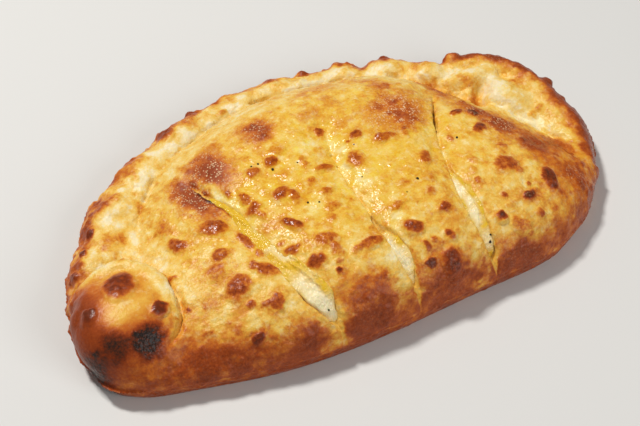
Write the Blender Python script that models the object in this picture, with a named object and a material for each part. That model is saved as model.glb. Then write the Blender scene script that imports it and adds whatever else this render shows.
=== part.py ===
"""Baked calzone: a folded half-moon of dough, its rim rolled along the back, a knob of dough folded
over at the left end and a loose flap at the right end, with three slashes that show the soft filling.

All sizes are millimetres until a mesh is made. X runs along the food, Y towards the rolled rim, Z up.
The dough is worked out as a field that is negative inside it; the skin of that field is the solid.
"""
import bmesh
import bpy
import numpy as np
from math import cos, radians, sin

MM = 0.001

# heights
EDGE_Z = 9.0            # widest line of the side, above the board
RIM_TOP = 18.5          # flat of the rim before its roll is added
DOME_TOP = 41.0         # highest line of the dome
DOME_DROP = 10.0        # how far the dome falls by DOME_HALF either side of its middle
DOME_HALF = 100.0
DOME_LOW = 19.0         # the dome never falls below this
SLASH_SAG = 3.0         # dip of the dome along a slash
SLASH_SAG_WIDTH = 9.0
SLASH_FOOT = 2.5        # the slashes stop this far above the board

# rounding, measured in from an outline
RIM_REACH = 14.0
DOME_REACH = 48.0
FOOT_REACH = 7.0        # tuck of the side under the widest line

# rolled rim
ROLL_INSET = 11.5       # from the outline to the middle of the roll
ROLL_RADIUS = 12.5

# filling
CRUST_THICK = 6.0       # dough over the filling
FLOOR_THICK = 5.0       # dough under the filling
FILL_MIDDLE_X = 8.0
FILL_HALF = 100.0       # half length of the filling
PLUG_DEPTH = 3.0        # filling below the skin where a slash stands open
PLUG_BACK_Y = -40.0     # the filling wells up only in front of this
AIR_POCKET = (63.0, 3.0, 10.0, 7.0)     # under the right slash: x, y, spread, extra depth
FIT_GAP = 0.4           # between the filling and the dough round it

# mesh
STEP = 1.25             # spacing of the field's grid
CRUST_FACES = 9000
FILLING_FACES = 1500

# plan outline at the widest line, round the food from the left end
OUTLINE = [
    (-146.5, -34), (-141.5, -54.5), (-128, -65), (-104, -72.5), (-64, -82), (-20, -85.5), (38, -84),
    (80, -83), (106, -73.5), (121, -62), (136.5, -42), (146.5, -16), (144, 8), (141, 22), (135.5, 37.5),
    (119.5, 46), (103.5, 52.5), (90, 60), (76, 71.5), (58, 69.5), (47, 78.5), (20, 83.3), (-8, 86),
    (-37, 83.3), (-61, 75.3), (-80, 65), (-100, 52.5), (-115, 40.5), (-124.5, 25), (-135, 9.5),
    (-143.5, -12.5),
]
# valley between the rim and the dome, from the right end to the left
CREASE = [
    (131, -44), (124, -28), (117, -9), (109, 4), (100, 15.5), (88, 32), (76, 47), (66, 54), (50, 62),
    (22, 66), (0, 68), (-20, 67), (-40, 62), (-60, 54), (-74, 46), (-86, 34), (-96, 20), (-101, 6),
    (-106, -6),
]
# front edge of the dome, from the left end to the right
FRONT = [
    (-128, -28), (-135, -52), (-128, -65), (-104, -72.5), (-64, -82), (-20, -85.5), (38, -84),
    (80, -83), (106, -73.5), (121, -62), (134, -50),
]

# slashes from the crest to the front: x, y, opening left of the line, opening right of it, depth
SLASHES = [
    [(-66, 20.5, 0.6, 1, 2.5), (-62.5, 10, 0.9, 2.6, 4), (-59.5, 2.5, 1, 2.4, 4), (-55.5, -8, 1.2, 1.6, 4),
     (-54.5, -20, 1.6, 1.8, 4), (-52, -30, 2, 2.2, 5), (-50, -40, 2.1, 2.3, 6), (-48.5, -50, 2.6, 2.8, 9),
     (-45.7, -60, 3.8, 3.8, 12), (-42.8, -67.5, 4.2, 4.2, 12), (-39.8, -74, 4, 4, 12),
     (-37.3, -81, 2.4, 2.6, 12), (-36.3, -88, 0.9, 0.9, 9)],
    [(7.5, 17.5, 0.6, 0.8, 2), (3.8, 9.5, 0.8, 2.6, 3), (2, 0, 0.9, 3.2, 3.5), (1.3, -10, 0.9, 3.2, 3.5),
     (1, -20, 0.9, 3.6, 3.5), (1.3, -30, 0.9, 3, 3.5), (1.6, -39, 0.9, 1.8, 4), (1.2, -47, 1, 2.4, 6),
     (2.2, -56, 1.6, 3.4, 10), (3.6, -65, 2.6, 3.8, 12), (4.2, -72, 2.4, 3.2, 12),
     (4.3, -79, 1.2, 1.6, 10), (4.5, -88, 0.5, 0.5, 7)],
    [(73, 21, 0.8, 1.6, 3), (68, 12.5, 1.4, 3.2, 8), (63.5, 4, 1.6, 3.6, 12), (60, -4, 1.4, 3.4, 11),
     (56.3, -13, 1, 2, 5), (53, -23, 1, 1.6, 4), (50.5, -33, 1.2, 1.8, 5), (49.8, -41, 2, 2.4, 9),
     (49.7, -48, 3.2, 3.4, 12), (48.6, -57, 3.6, 3.4, 12), (47.3, -66, 2.9, 2.9, 12),
     (47.2, -74, 2.4, 2.6, 11), (47.5, -81, 1.4, 1.4, 9), (47.7, -88, 0.5, 0.5, 7)],
]

# rolls of dough: x, y, height of the middle, radius
FLAP_LIP = [
    (101, 46.5, 17, 6), (110, 44, 17.5, 7), (120, 38.5, 18, 7), (128, 29, 18, 7), (132, 15, 17.5, 7.5),
    (134, 0, 17, 7.5), (135.5, -16, 15.5, 7.5), (132.5, -30, 13.5, 7.5), (127, -43, 12, 7),
    (118, -54, 10.5, 6),
]
FLAP_FOLD = [(89, 33, 16, 6), (98, 34, 18, 6), (108, 33, 19, 5.5), (117, 31.5, 19.5, 5)]
KNOB_LIP = [
    (-139, -14, 20, 3), (-130, -9.5, 23.5, 3.4), (-120, -8, 26, 3.6), (-110.5, -11.5, 28, 3.6),
    (-104.5, -20, 29, 3.6), (-101.5, -31, 28.5, 3.6), (-102, -42, 26.5, 3.6), (-106, -50.5, 23.5, 3.4),
    (-113.5, -55.5, 19.5, 3), (-124, -58.5, 15, 2.6),
]

# swellings: x, y, height, three radii, heading in degrees
KNOB = (-122.5, -34, 17.5, 25.5, 26.5, 18.5, 0)
FLAP_PUFFS = [
    (113, 13.5, 12, 21, 15, 13.5, -48),
    (87.5, 47, 13, 11, 10, 11, -35),
    (103.5, 48.5, 20, 5.5, 4.5, 5.5, -20),
    (131, -10, 13, 9, 16, 10, 10),
]
RIM_PUFFS = [
    (65, 60.5, 13, 11, 12, 9.5, 40), (46, 70, 12, 13, 8.5, 9, -20), (10, 76.5, 12, 15, 8.5, 8.5, -5),
    (-24, 75.5, 12, 14, 8.5, 9, 8), (-52, 68, 12, 14, 9, 9, 22), (-82, 52, 11.5, 16, 12, 10.5, 38),
    (-107, 30, 11, 17, 14, 11, 48), (-122, 6, 11, 17, 14, 11, 58),
]
# small knobs along the outer edge of the rim: x, y, height, radius
RIM_NUBS = [
    (71, 68.5, 17, 4.5), (45, 76, 16, 4), (26, 79.5, 15, 3.5), (4, 82.5, 14, 3.5), (-44, 78.5, 14, 4),
    (-63, 71.5, 14, 4), (-111, 43, 13, 3.5), (-121.5, 25.5, 11, 4), (-134, 6.5, 10, 4.5),
    (139.5, 11, 19, 4), (139, -4, 18, 4),
]
# crisp bubbles of the skin: x, y, two half widths, heading in degrees, height
BUBBLES = [
    (-119.5, -21.5, 7, 6, 20, 1.6), (-107, -41, 3.8, 3.2, 0, 1.6), (-137.5, -27.5, 4, 4, 0, 1.5),
    (-86, -10, 5, 3, -55, 1.3), (-69, -13, 7, 4.2, -32, 1.3), (-71, -48.5, 6, 5, 45, 1.5),
    (-77, -36, 4.5, 4, 40, 1.1), (-72, -28.5, 4, 3, -20, 1.1), (-59, -63.5, 4, 3.2, 50, 1.2),
    (-56, -47, 5.5, 3.5, -35, 1.2), (-57.5, -27, 6, 2.6, -80, 1.2), (-47, -10, 6, 3.2, -70, 1.2),
    (-31, -12, 5.5, 4.5, 0, 1.2), (-34.5, -31, 5, 2.6, -55, 1.3), (-34, -54, 4.4, 3.6, -15, 1.5),
    (-24.5, -47.5, 5, 4.2, -30, 1.2), (-7, -56.5, 7, 3, 8, 1.5), (-27, 9, 3.2, 3, 0, 1.1),
    (-38, 7.5, 3.4, 3, 0, 1.1), (10.4, -8.5, 4.2, 5.2, 0, 1.4), (30.5, -2, 5.6, 3, -8, 1.3),
    (42, -22.5, 5, 3.4, 55, 1.3), (15.4, -57.5, 5, 3.4, -25, 1.5), (27, -77, 5.4, 4.2, 0, 1.5),
    (35, -54, 3.8, 2.8, 20, 1.2), (18.3, 6, 3.2, 2.8, 0, 1.2), (77.5, -43, 6, 5, -20, 1.3),
    (95, -56, 3.5, 6, -15, 1.6), (78.8, -62, 3.8, 2.8, 20, 1.4), (59.2, -67.5, 3, 3, 0, 1.4),
    (67, -73.5, 5, 3.4, -25, 1.3), (75, 1, 3.6, 2.6, 0, 1.1), (79.6, -14, 3.6, 3, 0, 1.1),
]


def spline(points, closed=False, per_span=5):
    """Smooth curve through every point."""
    p = np.array(points, float)
    n = len(p)
    index = np.arange(n if closed else n - 1)

    def row(i):
        return p[i % n] if closed else p[np.clip(i, 0, n - 1)]

    a, b, c, d = row(index - 1), row(index), row(index + 1), row(index + 2)
    t = (np.arange(per_span) / per_span)[None, :, None]
    a, b, c, d = a[:, None], b[:, None], c[:, None], d[:, None]
    curve = 0.5 * (2 * b + (c - a) * t + (2 * a - 5 * b + 4 * c - d) * t**2 + (3 * b - a - 3 * c + d) * t**3)
    curve = curve.reshape(-1, p.shape[1])
    return curve if closed else np.vstack([curve, p[-1:]])


def beside(x, y, path, closed=False):
    """Distance of each place from a path in plan, the side it lies on, and how far along it is (0 to 1)."""
    starts = path if closed else path[:-1]
    ends = np.roll(path, -1, axis=0) if closed else path[1:]
    lengths = np.hypot(ends[:, 0] - starts[:, 0], ends[:, 1] - starts[:, 1])
    before = np.concatenate([[0.0], np.cumsum(lengths)[:-1]])
    distance = np.full(x.shape, 1e9)
    side = np.ones(x.shape)
    along = np.zeros(x.shape)
    for start, end, length, travelled in zip(starts, ends, lengths, before):
        dx, dy = end[0] - start[0], end[1] - start[1]
        t = np.clip(((x - start[0]) * dx + (y - start[1]) * dy) / max(length**2, 1e-9), 0, 1)
        d = np.hypot(x - start[0] - t * dx, y - start[1] - t * dy)
        closer = d < distance
        distance[closer] = d[closer]
        side[closer] = np.sign((x - start[0]) * dy - (y - start[1]) * dx)[closer]
        along[closer] = ((travelled + t * length) / lengths.sum())[closer]
    return distance, side, along


def depth_inside(x, y, loop):
    """Distance in from a closed outline, negative outside it."""
    odd = np.zeros(x.shape, bool)
    for (ax, ay), (bx, by) in zip(loop, np.roll(loop, -1, axis=0)):
        if ay != by:
            odd ^= ((ay > y) != (by > y)) & (x < (bx - ax) * (y - ay) / (by - ay) + ax)
    return np.where(odd, 1, -1) * beside(x, y, loop, closed=True)[0]


def join(a, b, blend):
    """Union of two fields, their meeting rounded over the blend."""
    h = np.clip(0.5 + 0.5 * (b - a) / blend, 0, 1)
    return b + (a - b) * h - blend * h * (1 - h)


def keep(a, b, blend):
    """What two fields have in common, the edge rounded over the blend."""
    return -join(-a, -b, blend)


def as_distance(field, step):
    """Scales a field so that it grows about as fast as distance does."""
    g = np.gradient(field, step)
    return field / np.maximum(np.sqrt(g[0]**2 + g[1]**2 + g[2]**2), 0.02)


def blurred(values, spread):
    """Softens a map over a spread counted in cells."""
    reach = int(3 * spread + 1)
    weight = np.exp(-0.5 * (np.arange(-reach, reach + 1) / spread)**2)
    weight /= weight.sum()
    for axis in (0, 1):
        edges = [(0, 0), (0, 0)]
        edges[axis] = (reach, reach)
        padded = np.pad(values, edges, mode='edge')
        values = sum(w * np.take(padded, np.arange(i, i + values.shape[axis]), axis)
                     for i, w in enumerate(weight))
    return values


def pillow(depth, z, top, reach, sides, crown, step):
    """Puffed slab: depth is the way in from its outline and top the map of its full height."""
    rise = np.clip(1 - depth / reach, 0, None)**sides
    middle = np.clip((depth - 8) / 12, 0, 1)
    rise = rise * (1 - middle) + blurred(rise, 5 / step) * middle
    tuck = np.clip(1 - depth / FOOT_REACH, 0, None)[:, :, None]
    above = np.clip(z - EDGE_Z, 0, None) / (top - EDGE_Z)[:, :, None]
    below = np.clip(EDGE_Z - z, 0, None) / (EDGE_Z + 3)
    upper = (rise[:, :, None] + above**crown)**(1 / crown) - 1
    lower = np.sqrt(tuck**2 + below**2) - 1
    return as_distance(np.where(z >= EDGE_Z, upper, lower), step)


def measures_along(path, along, columns):
    """The given columns of a path's rows, read at each place's way along it."""
    steps = np.hypot(*np.diff(path[:, :2], axis=0).T)
    travelled = np.concatenate([[0.0], np.cumsum(steps)]) / steps.sum()
    return [np.interp(along, travelled, path[:, column]) for column in columns]


def roll(x, y, z, rows):
    """Roll of dough along rows of x, y, height and radius."""
    path = spline(rows)
    distance, _, along = beside(x, y, path)
    height, radius = measures_along(path, along, (2, 3))
    return np.hypot(distance[:, :, None], z - height[:, :, None]) - radius[:, :, None]


def swelling(x, y, z, cx, cy, cz, rx, ry, rz, heading):
    """Rounded lump with its own three radii."""
    c, s = cos(radians(heading)), sin(radians(heading))
    a = ((x - cx) * c + (y - cy) * s)[:, :, None] / rx
    b = (-(x - cx) * s + (y - cy) * c)[:, :, None] / ry
    size = (np.abs(a)**2.2 + np.abs(b)**2.2 + np.abs((z - cz) / rz)**2.2)**(1 / 2.2)
    return (size - 1) * min(rx, ry, rz)


def slashed(field, x, y, z, rows):
    """Cuts one slash down from the top of the dough; its walls close in with depth."""
    path = spline(rows)
    distance, side, along = beside(x, y, path)
    near = distance < 12
    left, right, deep = measures_along(path, along[near], (2, 3, 4))
    half = np.where(side[near] > 0, left, right)
    dough = field[near]
    crest = np.where(dough < 0, z[0], -99).max(axis=1)
    foot = np.maximum(crest - 1.5 * deep, SLASH_FOOT)
    room = np.clip((z[0] - foot[:, None]) / 3, 0, 1)
    sunk = np.clip(-dough / deep[:, None], 0, 1)
    gap = distance[near][:, None] - half[:, None] * np.sqrt(1 - sunk**2) * room
    cut = field.copy()
    cut[near] = np.where((sunk < 1) & (room > 0), keep(dough, -gap, 0.9), dough)
    return cut


def pinched(field, x, y):
    """Sinks the valley between the rim and the dome."""
    distance, _, along = beside(x, y, spline(CREASE))
    valley = 3.0 * np.exp(-(distance / 2.6)**2) * np.clip(along * 12, 0, 1)
    return field + valley[:, :, None]


def bubbled(field, x, y):
    """Raises the crisp bubbles of the skin."""
    lift = np.zeros(x.shape)
    for cx, cy, half_a, half_b, heading, height in BUBBLES:
        c, s = cos(radians(heading)), sin(radians(heading))
        a = ((x - cx) * c + (y - cy) * s) / half_a
        b = (-(x - cx) * s + (y - cy) * c) / half_b
        lift += height * np.exp(-(a**4 + b**4 + 2 * (a * b)**2))
    return field - lift[:, :, None]


def dome_skin(x, y, z, step):
    """The domed body between the front edge and the crease."""
    loop = np.vstack([spline(CREASE), spline(FRONT)])
    depth = depth_inside(x, y, loop)
    near_slash = [beside(x, y, spline(rows))[0] for rows in SLASHES]
    sag = sum(np.exp(-(d / SLASH_SAG_WIDTH)**2) for d in near_slash)
    top = DOME_TOP - DOME_DROP * ((x - 10) / DOME_HALF)**2 - SLASH_SAG * sag
    return pillow(depth, z, np.maximum(top, DOME_LOW), DOME_REACH, 2.4, 2.1, step)


def rim_skin(x, y, z, step):
    """The low base with the puffed roll and small knobs along its back."""
    depth = depth_inside(x, y, spline(OUTLINE, closed=True))
    field = pillow(depth, z, np.full(x.shape, RIM_TOP), RIM_REACH, 2.2, 2.2, step)
    at_back = np.clip((y + 0.25 * np.abs(x) + 22) / 20, 0, 1)
    radius = (ROLL_RADIUS - 2.5) * at_back + 1.5
    rolled = np.hypot((depth - ROLL_INSET)[:, :, None], z - 9.5) - radius[:, :, None]
    field = join(field, rolled, 4)
    for puff in RIM_PUFFS:
        field = join(field, swelling(x, y, z, *puff), 2.5)
    for cx, cy, cz, size in RIM_NUBS:
        field = join(field, swelling(x, y, z, cx, cy, cz, size, size, size, 0), 2)
    return field


def dough_skin(x, y, z, step):
    """Everything of the dough, with the slashes cut and no filling taken out."""
    dome = dome_skin(x, y, z, step)
    field = join(rim_skin(x, y, z, step), dome, 2)
    for rows in (FLAP_LIP, FLAP_FOLD):
        field = join(field, roll(x, y, z, rows), 1.5)
    for puff in FLAP_PUFFS:
        field = join(field, swelling(x, y, z, *puff), 1.5)
    field = pinched(field, x, y)
    knob = join(swelling(x, y, z, *KNOB), roll(x, y, z, KNOB_LIP), 2)
    field = join(field, knob, 0.7)
    field = bubbled(field, x, y)
    for rows in SLASHES:
        field = slashed(field, x, y, z, rows)
    return np.maximum(field, -z), dome


def filling_skin(x, y, z, dome):
    """Soft filling that lies under the dome and wells up where a slash stands open."""
    hx, hy, spread, sink = AIR_POCKET
    hollow = sink * np.exp(-((x - hx)**2 + (y - hy)**2) / spread**2)
    field = dome + CRUST_THICK + hollow[:, :, None]
    for rows in SLASHES:
        path = spline(rows)
        distance, side, along = beside(x, y, path)
        left, right, deep = measures_along(path, along, (2, 3, 4))
        half = np.where(side > 0, left, right) * np.clip((deep - 9) / 2, 0, 1) - 0.6
        half = np.where(y < PLUG_BACK_Y, half, -2)
        plug = keep(dome + PLUG_DEPTH, (distance - half)[:, :, None], 1.5)
        field = join(field, plug, 2)
    field = keep(field, FLOOR_THICK - z, 3)
    return keep(field, (np.abs(x - FILL_MIDDLE_X) - FILL_HALF)[:, :, None], 8)


def touching_corners(inside):
    """Grid corners round each place where two parts of the skin would meet at an edge or a point."""
    rings = []
    for axis in range(3):
        flat = np.moveaxis(inside, axis, 0)
        a, b, c, d = flat[:, :-1, :-1], flat[:, 1:, 1:], flat[:, :-1, 1:], flat[:, 1:, :-1]
        for level, i, j in np.argwhere((a == b) & (c == d) & (a != c)):
            ring = [[i, j], [i + 1, j + 1], [i, j + 1], [i + 1, j]]
            for corner in ring:
                corner.insert(axis, level)
            rings.append(ring)
    ends = (slice(None, -1), slice(1, None))
    corner = {(i, j, k): inside[ends[i], ends[j], ends[k]] for i in (0, 1) for j in (0, 1) for k in (0, 1)}
    count = sum(part.astype(int) for part in corner.values())
    for j, k in ((0, 0), (0, 1), (1, 0), (1, 1)):
        a, b = corner[0, j, k], corner[1, 1 - j, 1 - k]
        for x, y, z in np.argwhere((a == b) & (count == np.where(a, 2, 6))):
            rings.append([[x, y + j, z + k], [x + 1, y + 1 - j, z + 1 - k]])
    return rings


def settled(field):
    """Nudges the few grid points at which two parts of the skin would touch."""
    field = field.copy()
    for _ in range(20):
        rings = touching_corners(field < 0)
        if not rings:
            break
        nearest = {min(map(tuple, ring), key=lambda corner: abs(field[corner])) for ring in rings}
        for corner in sorted(nearest):
            field[corner] = 0.001 if field[corner] < 0 else -0.001
    return field


def skin_of(field, xs, ys, zs):
    """Closed mesh of four-sided faces where a field passes through nothing."""
    field = settled(field)
    inside = field < 0
    cells = np.zeros(tuple(n - 1 for n in field.shape), int)
    total = np.zeros(cells.shape + (3,))
    crossings = np.zeros(cells.shape)
    corner = (slice(None, -1), slice(1, None))
    steps = (xs[1] - xs[0], ys[1] - ys[0], zs[1] - zs[0])
    for axis in range(3):
        others = [other for other in range(3) if other != axis]
        for p in (0, 1):
            for q in (0, 1):
                low, high = [None] * 3, [None] * 3
                low[axis], high[axis] = corner
                low[others[0]] = high[others[0]] = corner[p]
                low[others[1]] = high[others[1]] = corner[q]
                a, b = field[tuple(low)], field[tuple(high)]
                crossed = (a < 0) != (b < 0)
                part = np.zeros(a.shape)
                part[crossed] = (a[crossed] / (a[crossed] - b[crossed]))
                total[..., axis] += part
                total[..., others[0]] += p * crossed
                total[..., others[1]] += q * crossed
                crossings += crossed
    used = crossings > 0
    cells[used] = np.arange(used.sum())
    at = np.argwhere(used)
    points = (at + total[used] / crossings[used][:, None]) * steps + (xs[0], ys[0], zs[0])
    faces = []
    for axis in range(3):
        u, w = (axis + 1) % 3, (axis + 2) % 3
        low, high = [slice(1, -1)] * 3, [slice(1, -1)] * 3
        low[axis], high[axis] = corner
        leaving = inside[tuple(low)] & ~inside[tuple(high)]
        entering = ~inside[tuple(low)] & inside[tuple(high)]
        for crossed, turned in ((leaving, False), (entering, True)):
            where = np.argwhere(crossed)
            where[:, u] += 1
            where[:, w] += 1
            ring = []
            for du, dw in ((1, 1), (0, 1), (0, 0), (1, 0)):
                cell = where.copy()
                cell[:, u] -= du
                cell[:, w] -= dw
                ring.append(cells[tuple(cell.T)])
            faces.append(np.stack(ring[::-1] if turned else ring, axis=1))
    return points, np.vstack(faces)


def make_material(name, colour, roughness):
    """Plain surface with one colour and roughness."""
    material = bpy.data.materials.new(name)
    material.use_nodes = True
    shader = material.node_tree.nodes["Principled BSDF"]
    shader.inputs["Base Color"].default_value = (*colour, 1)
    shader.inputs["Roughness"].default_value = roughness
    shader.inputs["Metallic"].default_value = 0
    return material


def drop_pockets(body):
    """Keeps the outer skin and removes every other closed piece of it."""
    left = set(body.verts)
    shells = []
    while left:
        edge = [left.pop()]
        shell = list(edge)
        while edge:
            found = {e.other_vert(v) for v in edge for e in v.link_edges} & left
            left -= found
            edge = list(found)
            shell += edge
        shells.append(shell)
    shells.sort(key=len)
    for shell in shells[:-1]:
        bmesh.ops.delete(body, geom=shell, context='VERTS')


def make_solid(name, points, faces, limit, material):
    """Object with the given skin, thinned to about the given count of triangles."""
    mesh = bpy.data.meshes.new(name)
    mesh.from_pydata((points * MM).tolist(), [], faces.tolist())
    body = bmesh.new()
    body.from_mesh(mesh)
    drop_pockets(body)
    bmesh.ops.triangulate(body, faces=body.faces)
    body.to_mesh(mesh)
    count = len(body.faces)
    body.free()
    for face in mesh.polygons:
        face.use_smooth = True
    mesh.materials.append(material)
    solid = bpy.data.objects.new(name, mesh)
    bpy.context.collection.objects.link(solid)
    thin = solid.modifiers.new("thin", 'DECIMATE')
    thin.ratio = min(1.0, limit / count)
    return solid


def make_cutter(filling):
    """Copy of the filling grown by the gap round it, to hollow the dough."""
    cutter = filling.copy()
    cutter.name = "filling_room"
    bpy.context.collection.objects.link(cutter)
    grow = cutter.modifiers.new("gap", 'DISPLACE')
    grow.mid_level = 0
    grow.strength = FIT_GAP * MM
    cutter.hide_render = True
    cutter.display_type = 'WIRE'
    return cutter


def main():
    for item in list(bpy.data.objects):
        bpy.data.objects.remove(item, do_unlink=True)
    xs = np.arange(-157.7, 158, STEP)
    ys = np.arange(-95.6, 98, STEP)
    zs = np.arange(-2.37, 52, STEP)
    x, y = np.meshgrid(xs, ys, indexing='ij')
    z = zs[None, None, :]
    dough, dome = dough_skin(x, y, z, STEP)
    dough_points, dough_faces = skin_of(dough, xs, ys, zs)
    filling_points, filling_faces = skin_of(filling_skin(x, y, z, dome), xs, ys, zs)
    low, high = dough_points.min(axis=0), dough_points.max(axis=0)
    middle = np.array([(low[0] + high[0]) / 2, (low[1] + high[1]) / 2, low[2]])
    crust_material = make_material("baked_crust", (0.56, 0.25, 0.07), 0.5)
    filling_material = make_material("soft_filling", (0.85, 0.75, 0.48), 0.35)
    crust = make_solid("crust", dough_points - middle, dough_faces, CRUST_FACES, crust_material)
    filling = make_solid("filling", filling_points - middle, filling_faces, FILLING_FACES,
                         filling_material)
    hollow = crust.modifiers.new("hollow", 'BOOLEAN')
    hollow.operation = 'DIFFERENCE'
    hollow.solver = 'EXACT'
    hollow.object = make_cutter(filling)


main()
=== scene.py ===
"""Looks of the baked calzone: its dough with every bubble, its browning, butter, soft cheese and pepper.

Sizes are millimetres until a mesh is made. X runs along the food, Y towards the rolled rim, Z up.
The dough is worked out as a field that is negative inside it, from the same named sizes as the solids,
and its skin is then raised into bubbles and grain.
"""
import bpy
import numpy as np
from itertools import product
from math import cos, radians, sin
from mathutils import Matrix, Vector
from mathutils.bvhtree import BVHTree


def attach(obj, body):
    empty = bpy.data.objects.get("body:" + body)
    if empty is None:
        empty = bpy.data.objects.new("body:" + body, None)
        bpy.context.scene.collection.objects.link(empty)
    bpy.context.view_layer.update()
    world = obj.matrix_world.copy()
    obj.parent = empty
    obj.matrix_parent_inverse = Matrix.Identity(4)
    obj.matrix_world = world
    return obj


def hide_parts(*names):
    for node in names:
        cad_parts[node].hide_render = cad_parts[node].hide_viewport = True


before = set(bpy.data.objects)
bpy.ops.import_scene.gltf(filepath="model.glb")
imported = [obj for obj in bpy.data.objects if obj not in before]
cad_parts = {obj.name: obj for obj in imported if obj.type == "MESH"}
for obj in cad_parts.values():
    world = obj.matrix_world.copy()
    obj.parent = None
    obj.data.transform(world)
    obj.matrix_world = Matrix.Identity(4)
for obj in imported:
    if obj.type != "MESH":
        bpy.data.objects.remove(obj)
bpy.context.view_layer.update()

MM = 0.001
MIDDLE = (0.045, 0.577, 0.0)    # middle of the outline's box, which is the frame's origin

# heights
EDGE_Z = 9.0            # widest line of the side, above the board
RIM_TOP = 18.5          # flat of the rim before its roll is added
DOME_TOP = 41.0         # highest line of the dome
DOME_DROP = 10.0        # how far the dome falls by DOME_HALF either side of its middle
DOME_HALF = 100.0
DOME_LOW = 19.0         # the dome never falls below this
SLASH_SAG = 3.0         # dip of the dome along a slash
SLASH_SAG_WIDTH = 9.0
SLASH_FOOT = 2.5        # the slashes stop this far above the board

# rounding, measured in from an outline
RIM_REACH = 14.0
DOME_REACH = 48.0
FOOT_REACH = 7.0        # tuck of the side under the widest line

# rolled rim
ROLL_INSET = 11.5       # from the outline to the middle of the roll
ROLL_RADIUS = 12.5

# filling
CRUST_THICK = 6.0       # dough over the filling
FLOOR_THICK = 5.0       # dough under the filling
FILL_MIDDLE_X = 8.0
FILL_HALF = 100.0       # half length of the filling
AIR_POCKET = (63.0, 3.0, 10.0, 7.0)     # under the right slash: x, y, spread, extra depth

# mesh
STEP = 0.8   # spacing of the field's grid
GRID_LOW = (-157.7, -95.6, -2.37)
GRID_HIGH = (158, 98, 52)
GRID = [np.arange(low, high, STEP) for low, high in zip(GRID_LOW, GRID_HIGH)]
CRUST_TRIANGLES = 195000
FILLING_TRIANGLES = 110000

# view: the camera's rise in degrees and its distance, and how the food is turned and moved below it
CAMERA_ELEVATION = 50
CAMERA_DISTANCE = 598
CAMERA_LENS = 64.7
FOOD_TURN = 27
FOOD_PLACE = (4.33, 3.80)

# light: place in the view, size in metres, power and colour
KEY_LIGHT = ((-740, 540, 1600), 0.26, 28.3, (1.0, 0.985, 0.95))
FILL_LIGHT = ((900, -700, 700), 0.7, 6.1, (1.0, 1.0, 1.0))
ROOM_LIGHT = 0.16
FLOOR_HALF = 3.0        # half the side of the floor, in metres

# plan outline at the widest line, round the food from the left end
OUTLINE = [
    (-146.5, -34), (-141.5, -54.5), (-128, -65), (-104, -72.5), (-64, -82), (-20, -85.5), (38, -84),
    (80, -83), (106, -73.5), (121, -62), (136.5, -42), (146.5, -16), (144, 8), (141, 22), (135.5, 37.5),
    (119.5, 46), (103.5, 52.5), (90, 60), (76, 71.5), (58, 69.5), (47, 78.5), (20, 83.3), (-8, 86),
    (-37, 83.3), (-61, 75.3), (-80, 65), (-100, 52.5), (-115, 40.5), (-124.5, 25), (-135, 9.5),
    (-143.5, -12.5),
]
# valley between the rim and the dome, from the right end to the left
CREASE = [
    (131, -44), (124, -28), (117, -9), (109, 4), (100, 15.5), (88, 32), (76, 47), (66, 54), (50, 62),
    (22, 66), (0, 68), (-20, 67), (-40, 62), (-60, 54), (-74, 46), (-86, 34), (-96, 20), (-101, 6),
    (-106, -6),
]
# front edge of the dome, from the left end to the right, mostly along the outline
FRONT = [(-128, -28), (-135, -52), *OUTLINE[2:10], (134, -50)]

# slashes from the crest to the front: x, y, opening to the left of the line and to its right, depth
# (left and right are as seen from the front, for slashes, filling and lips)
SLASHES = [
    [(-66, 20.5, 0.5, 0.6, 1.5), (-62.5, 10, 0.8, 1, 2.2), (-59.5, 2.5, 0.9, 1.4, 2.5),
     (-55.5, -8, 1.6, 1.8, 3), (-54.5, -20, 2, 2.2, 4), (-52, -30, 2.3, 2.4, 5),
     (-49.8, -40, 2.4, 2.6, 6), (-47.6, -50, 2.8, 3.2, 9), (-44, -60, 4.4, 4.6, 12),
     (-40.8, -67.5, 5, 5, 11), (-37.8, -74, 4, 3.8, 5), (-35.6, -81, 1.8, 2, 2.5),
     (-34.8, -88, 0.9, 0.9, 1)],
    [(7.5, 17.5, 0.2, 0.2, 0.5), (3.8, 9.5, 0.4, 0.4, 0.8), (2, 0, 0.5, 0.5, 1), (1.3, -10, 0.5, 0.5, 1),
     (1, -20, 0.5, 0.5, 1.1), (1.3, -30, 0.6, 0.6, 1.3), (1.6, -39, 0.7, 0.8, 2.2),
     (1.2, -47, 0.9, 1.3, 5), (3, -56, 1.8, 3.6, 9), (4.6, -65, 2.4, 4, 12), (5.2, -72, 2, 2.8, 8),
     (5.3, -79, 1.2, 1.6, 3), (5.3, -88, 0.6, 0.6, 1)],
    [(73, 21, 0.4, 0.4, 1), (68, 12.5, 0.7, 0.7, 2.5), (63.5, 4, 0.9, 1, 6), (60, -4, 0.7, 0.8, 3),
     (56.3, -13, 0.6, 0.7, 1.6), (53, -23, 0.6, 0.7, 1.5), (50.5, -33, 0.8, 1, 2.5),
     (49.8, -41, 1.8, 2.2, 9), (49.7, -48, 3.2, 3.4, 12), (48.8, -57, 3.4, 3.8, 12),
     (48, -66, 2.6, 4, 12), (48.2, -74, 2.2, 3, 7), (48.4, -81, 1.4, 1.6, 3), (48.5, -88, 0.6, 0.6, 1)],
]

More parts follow.
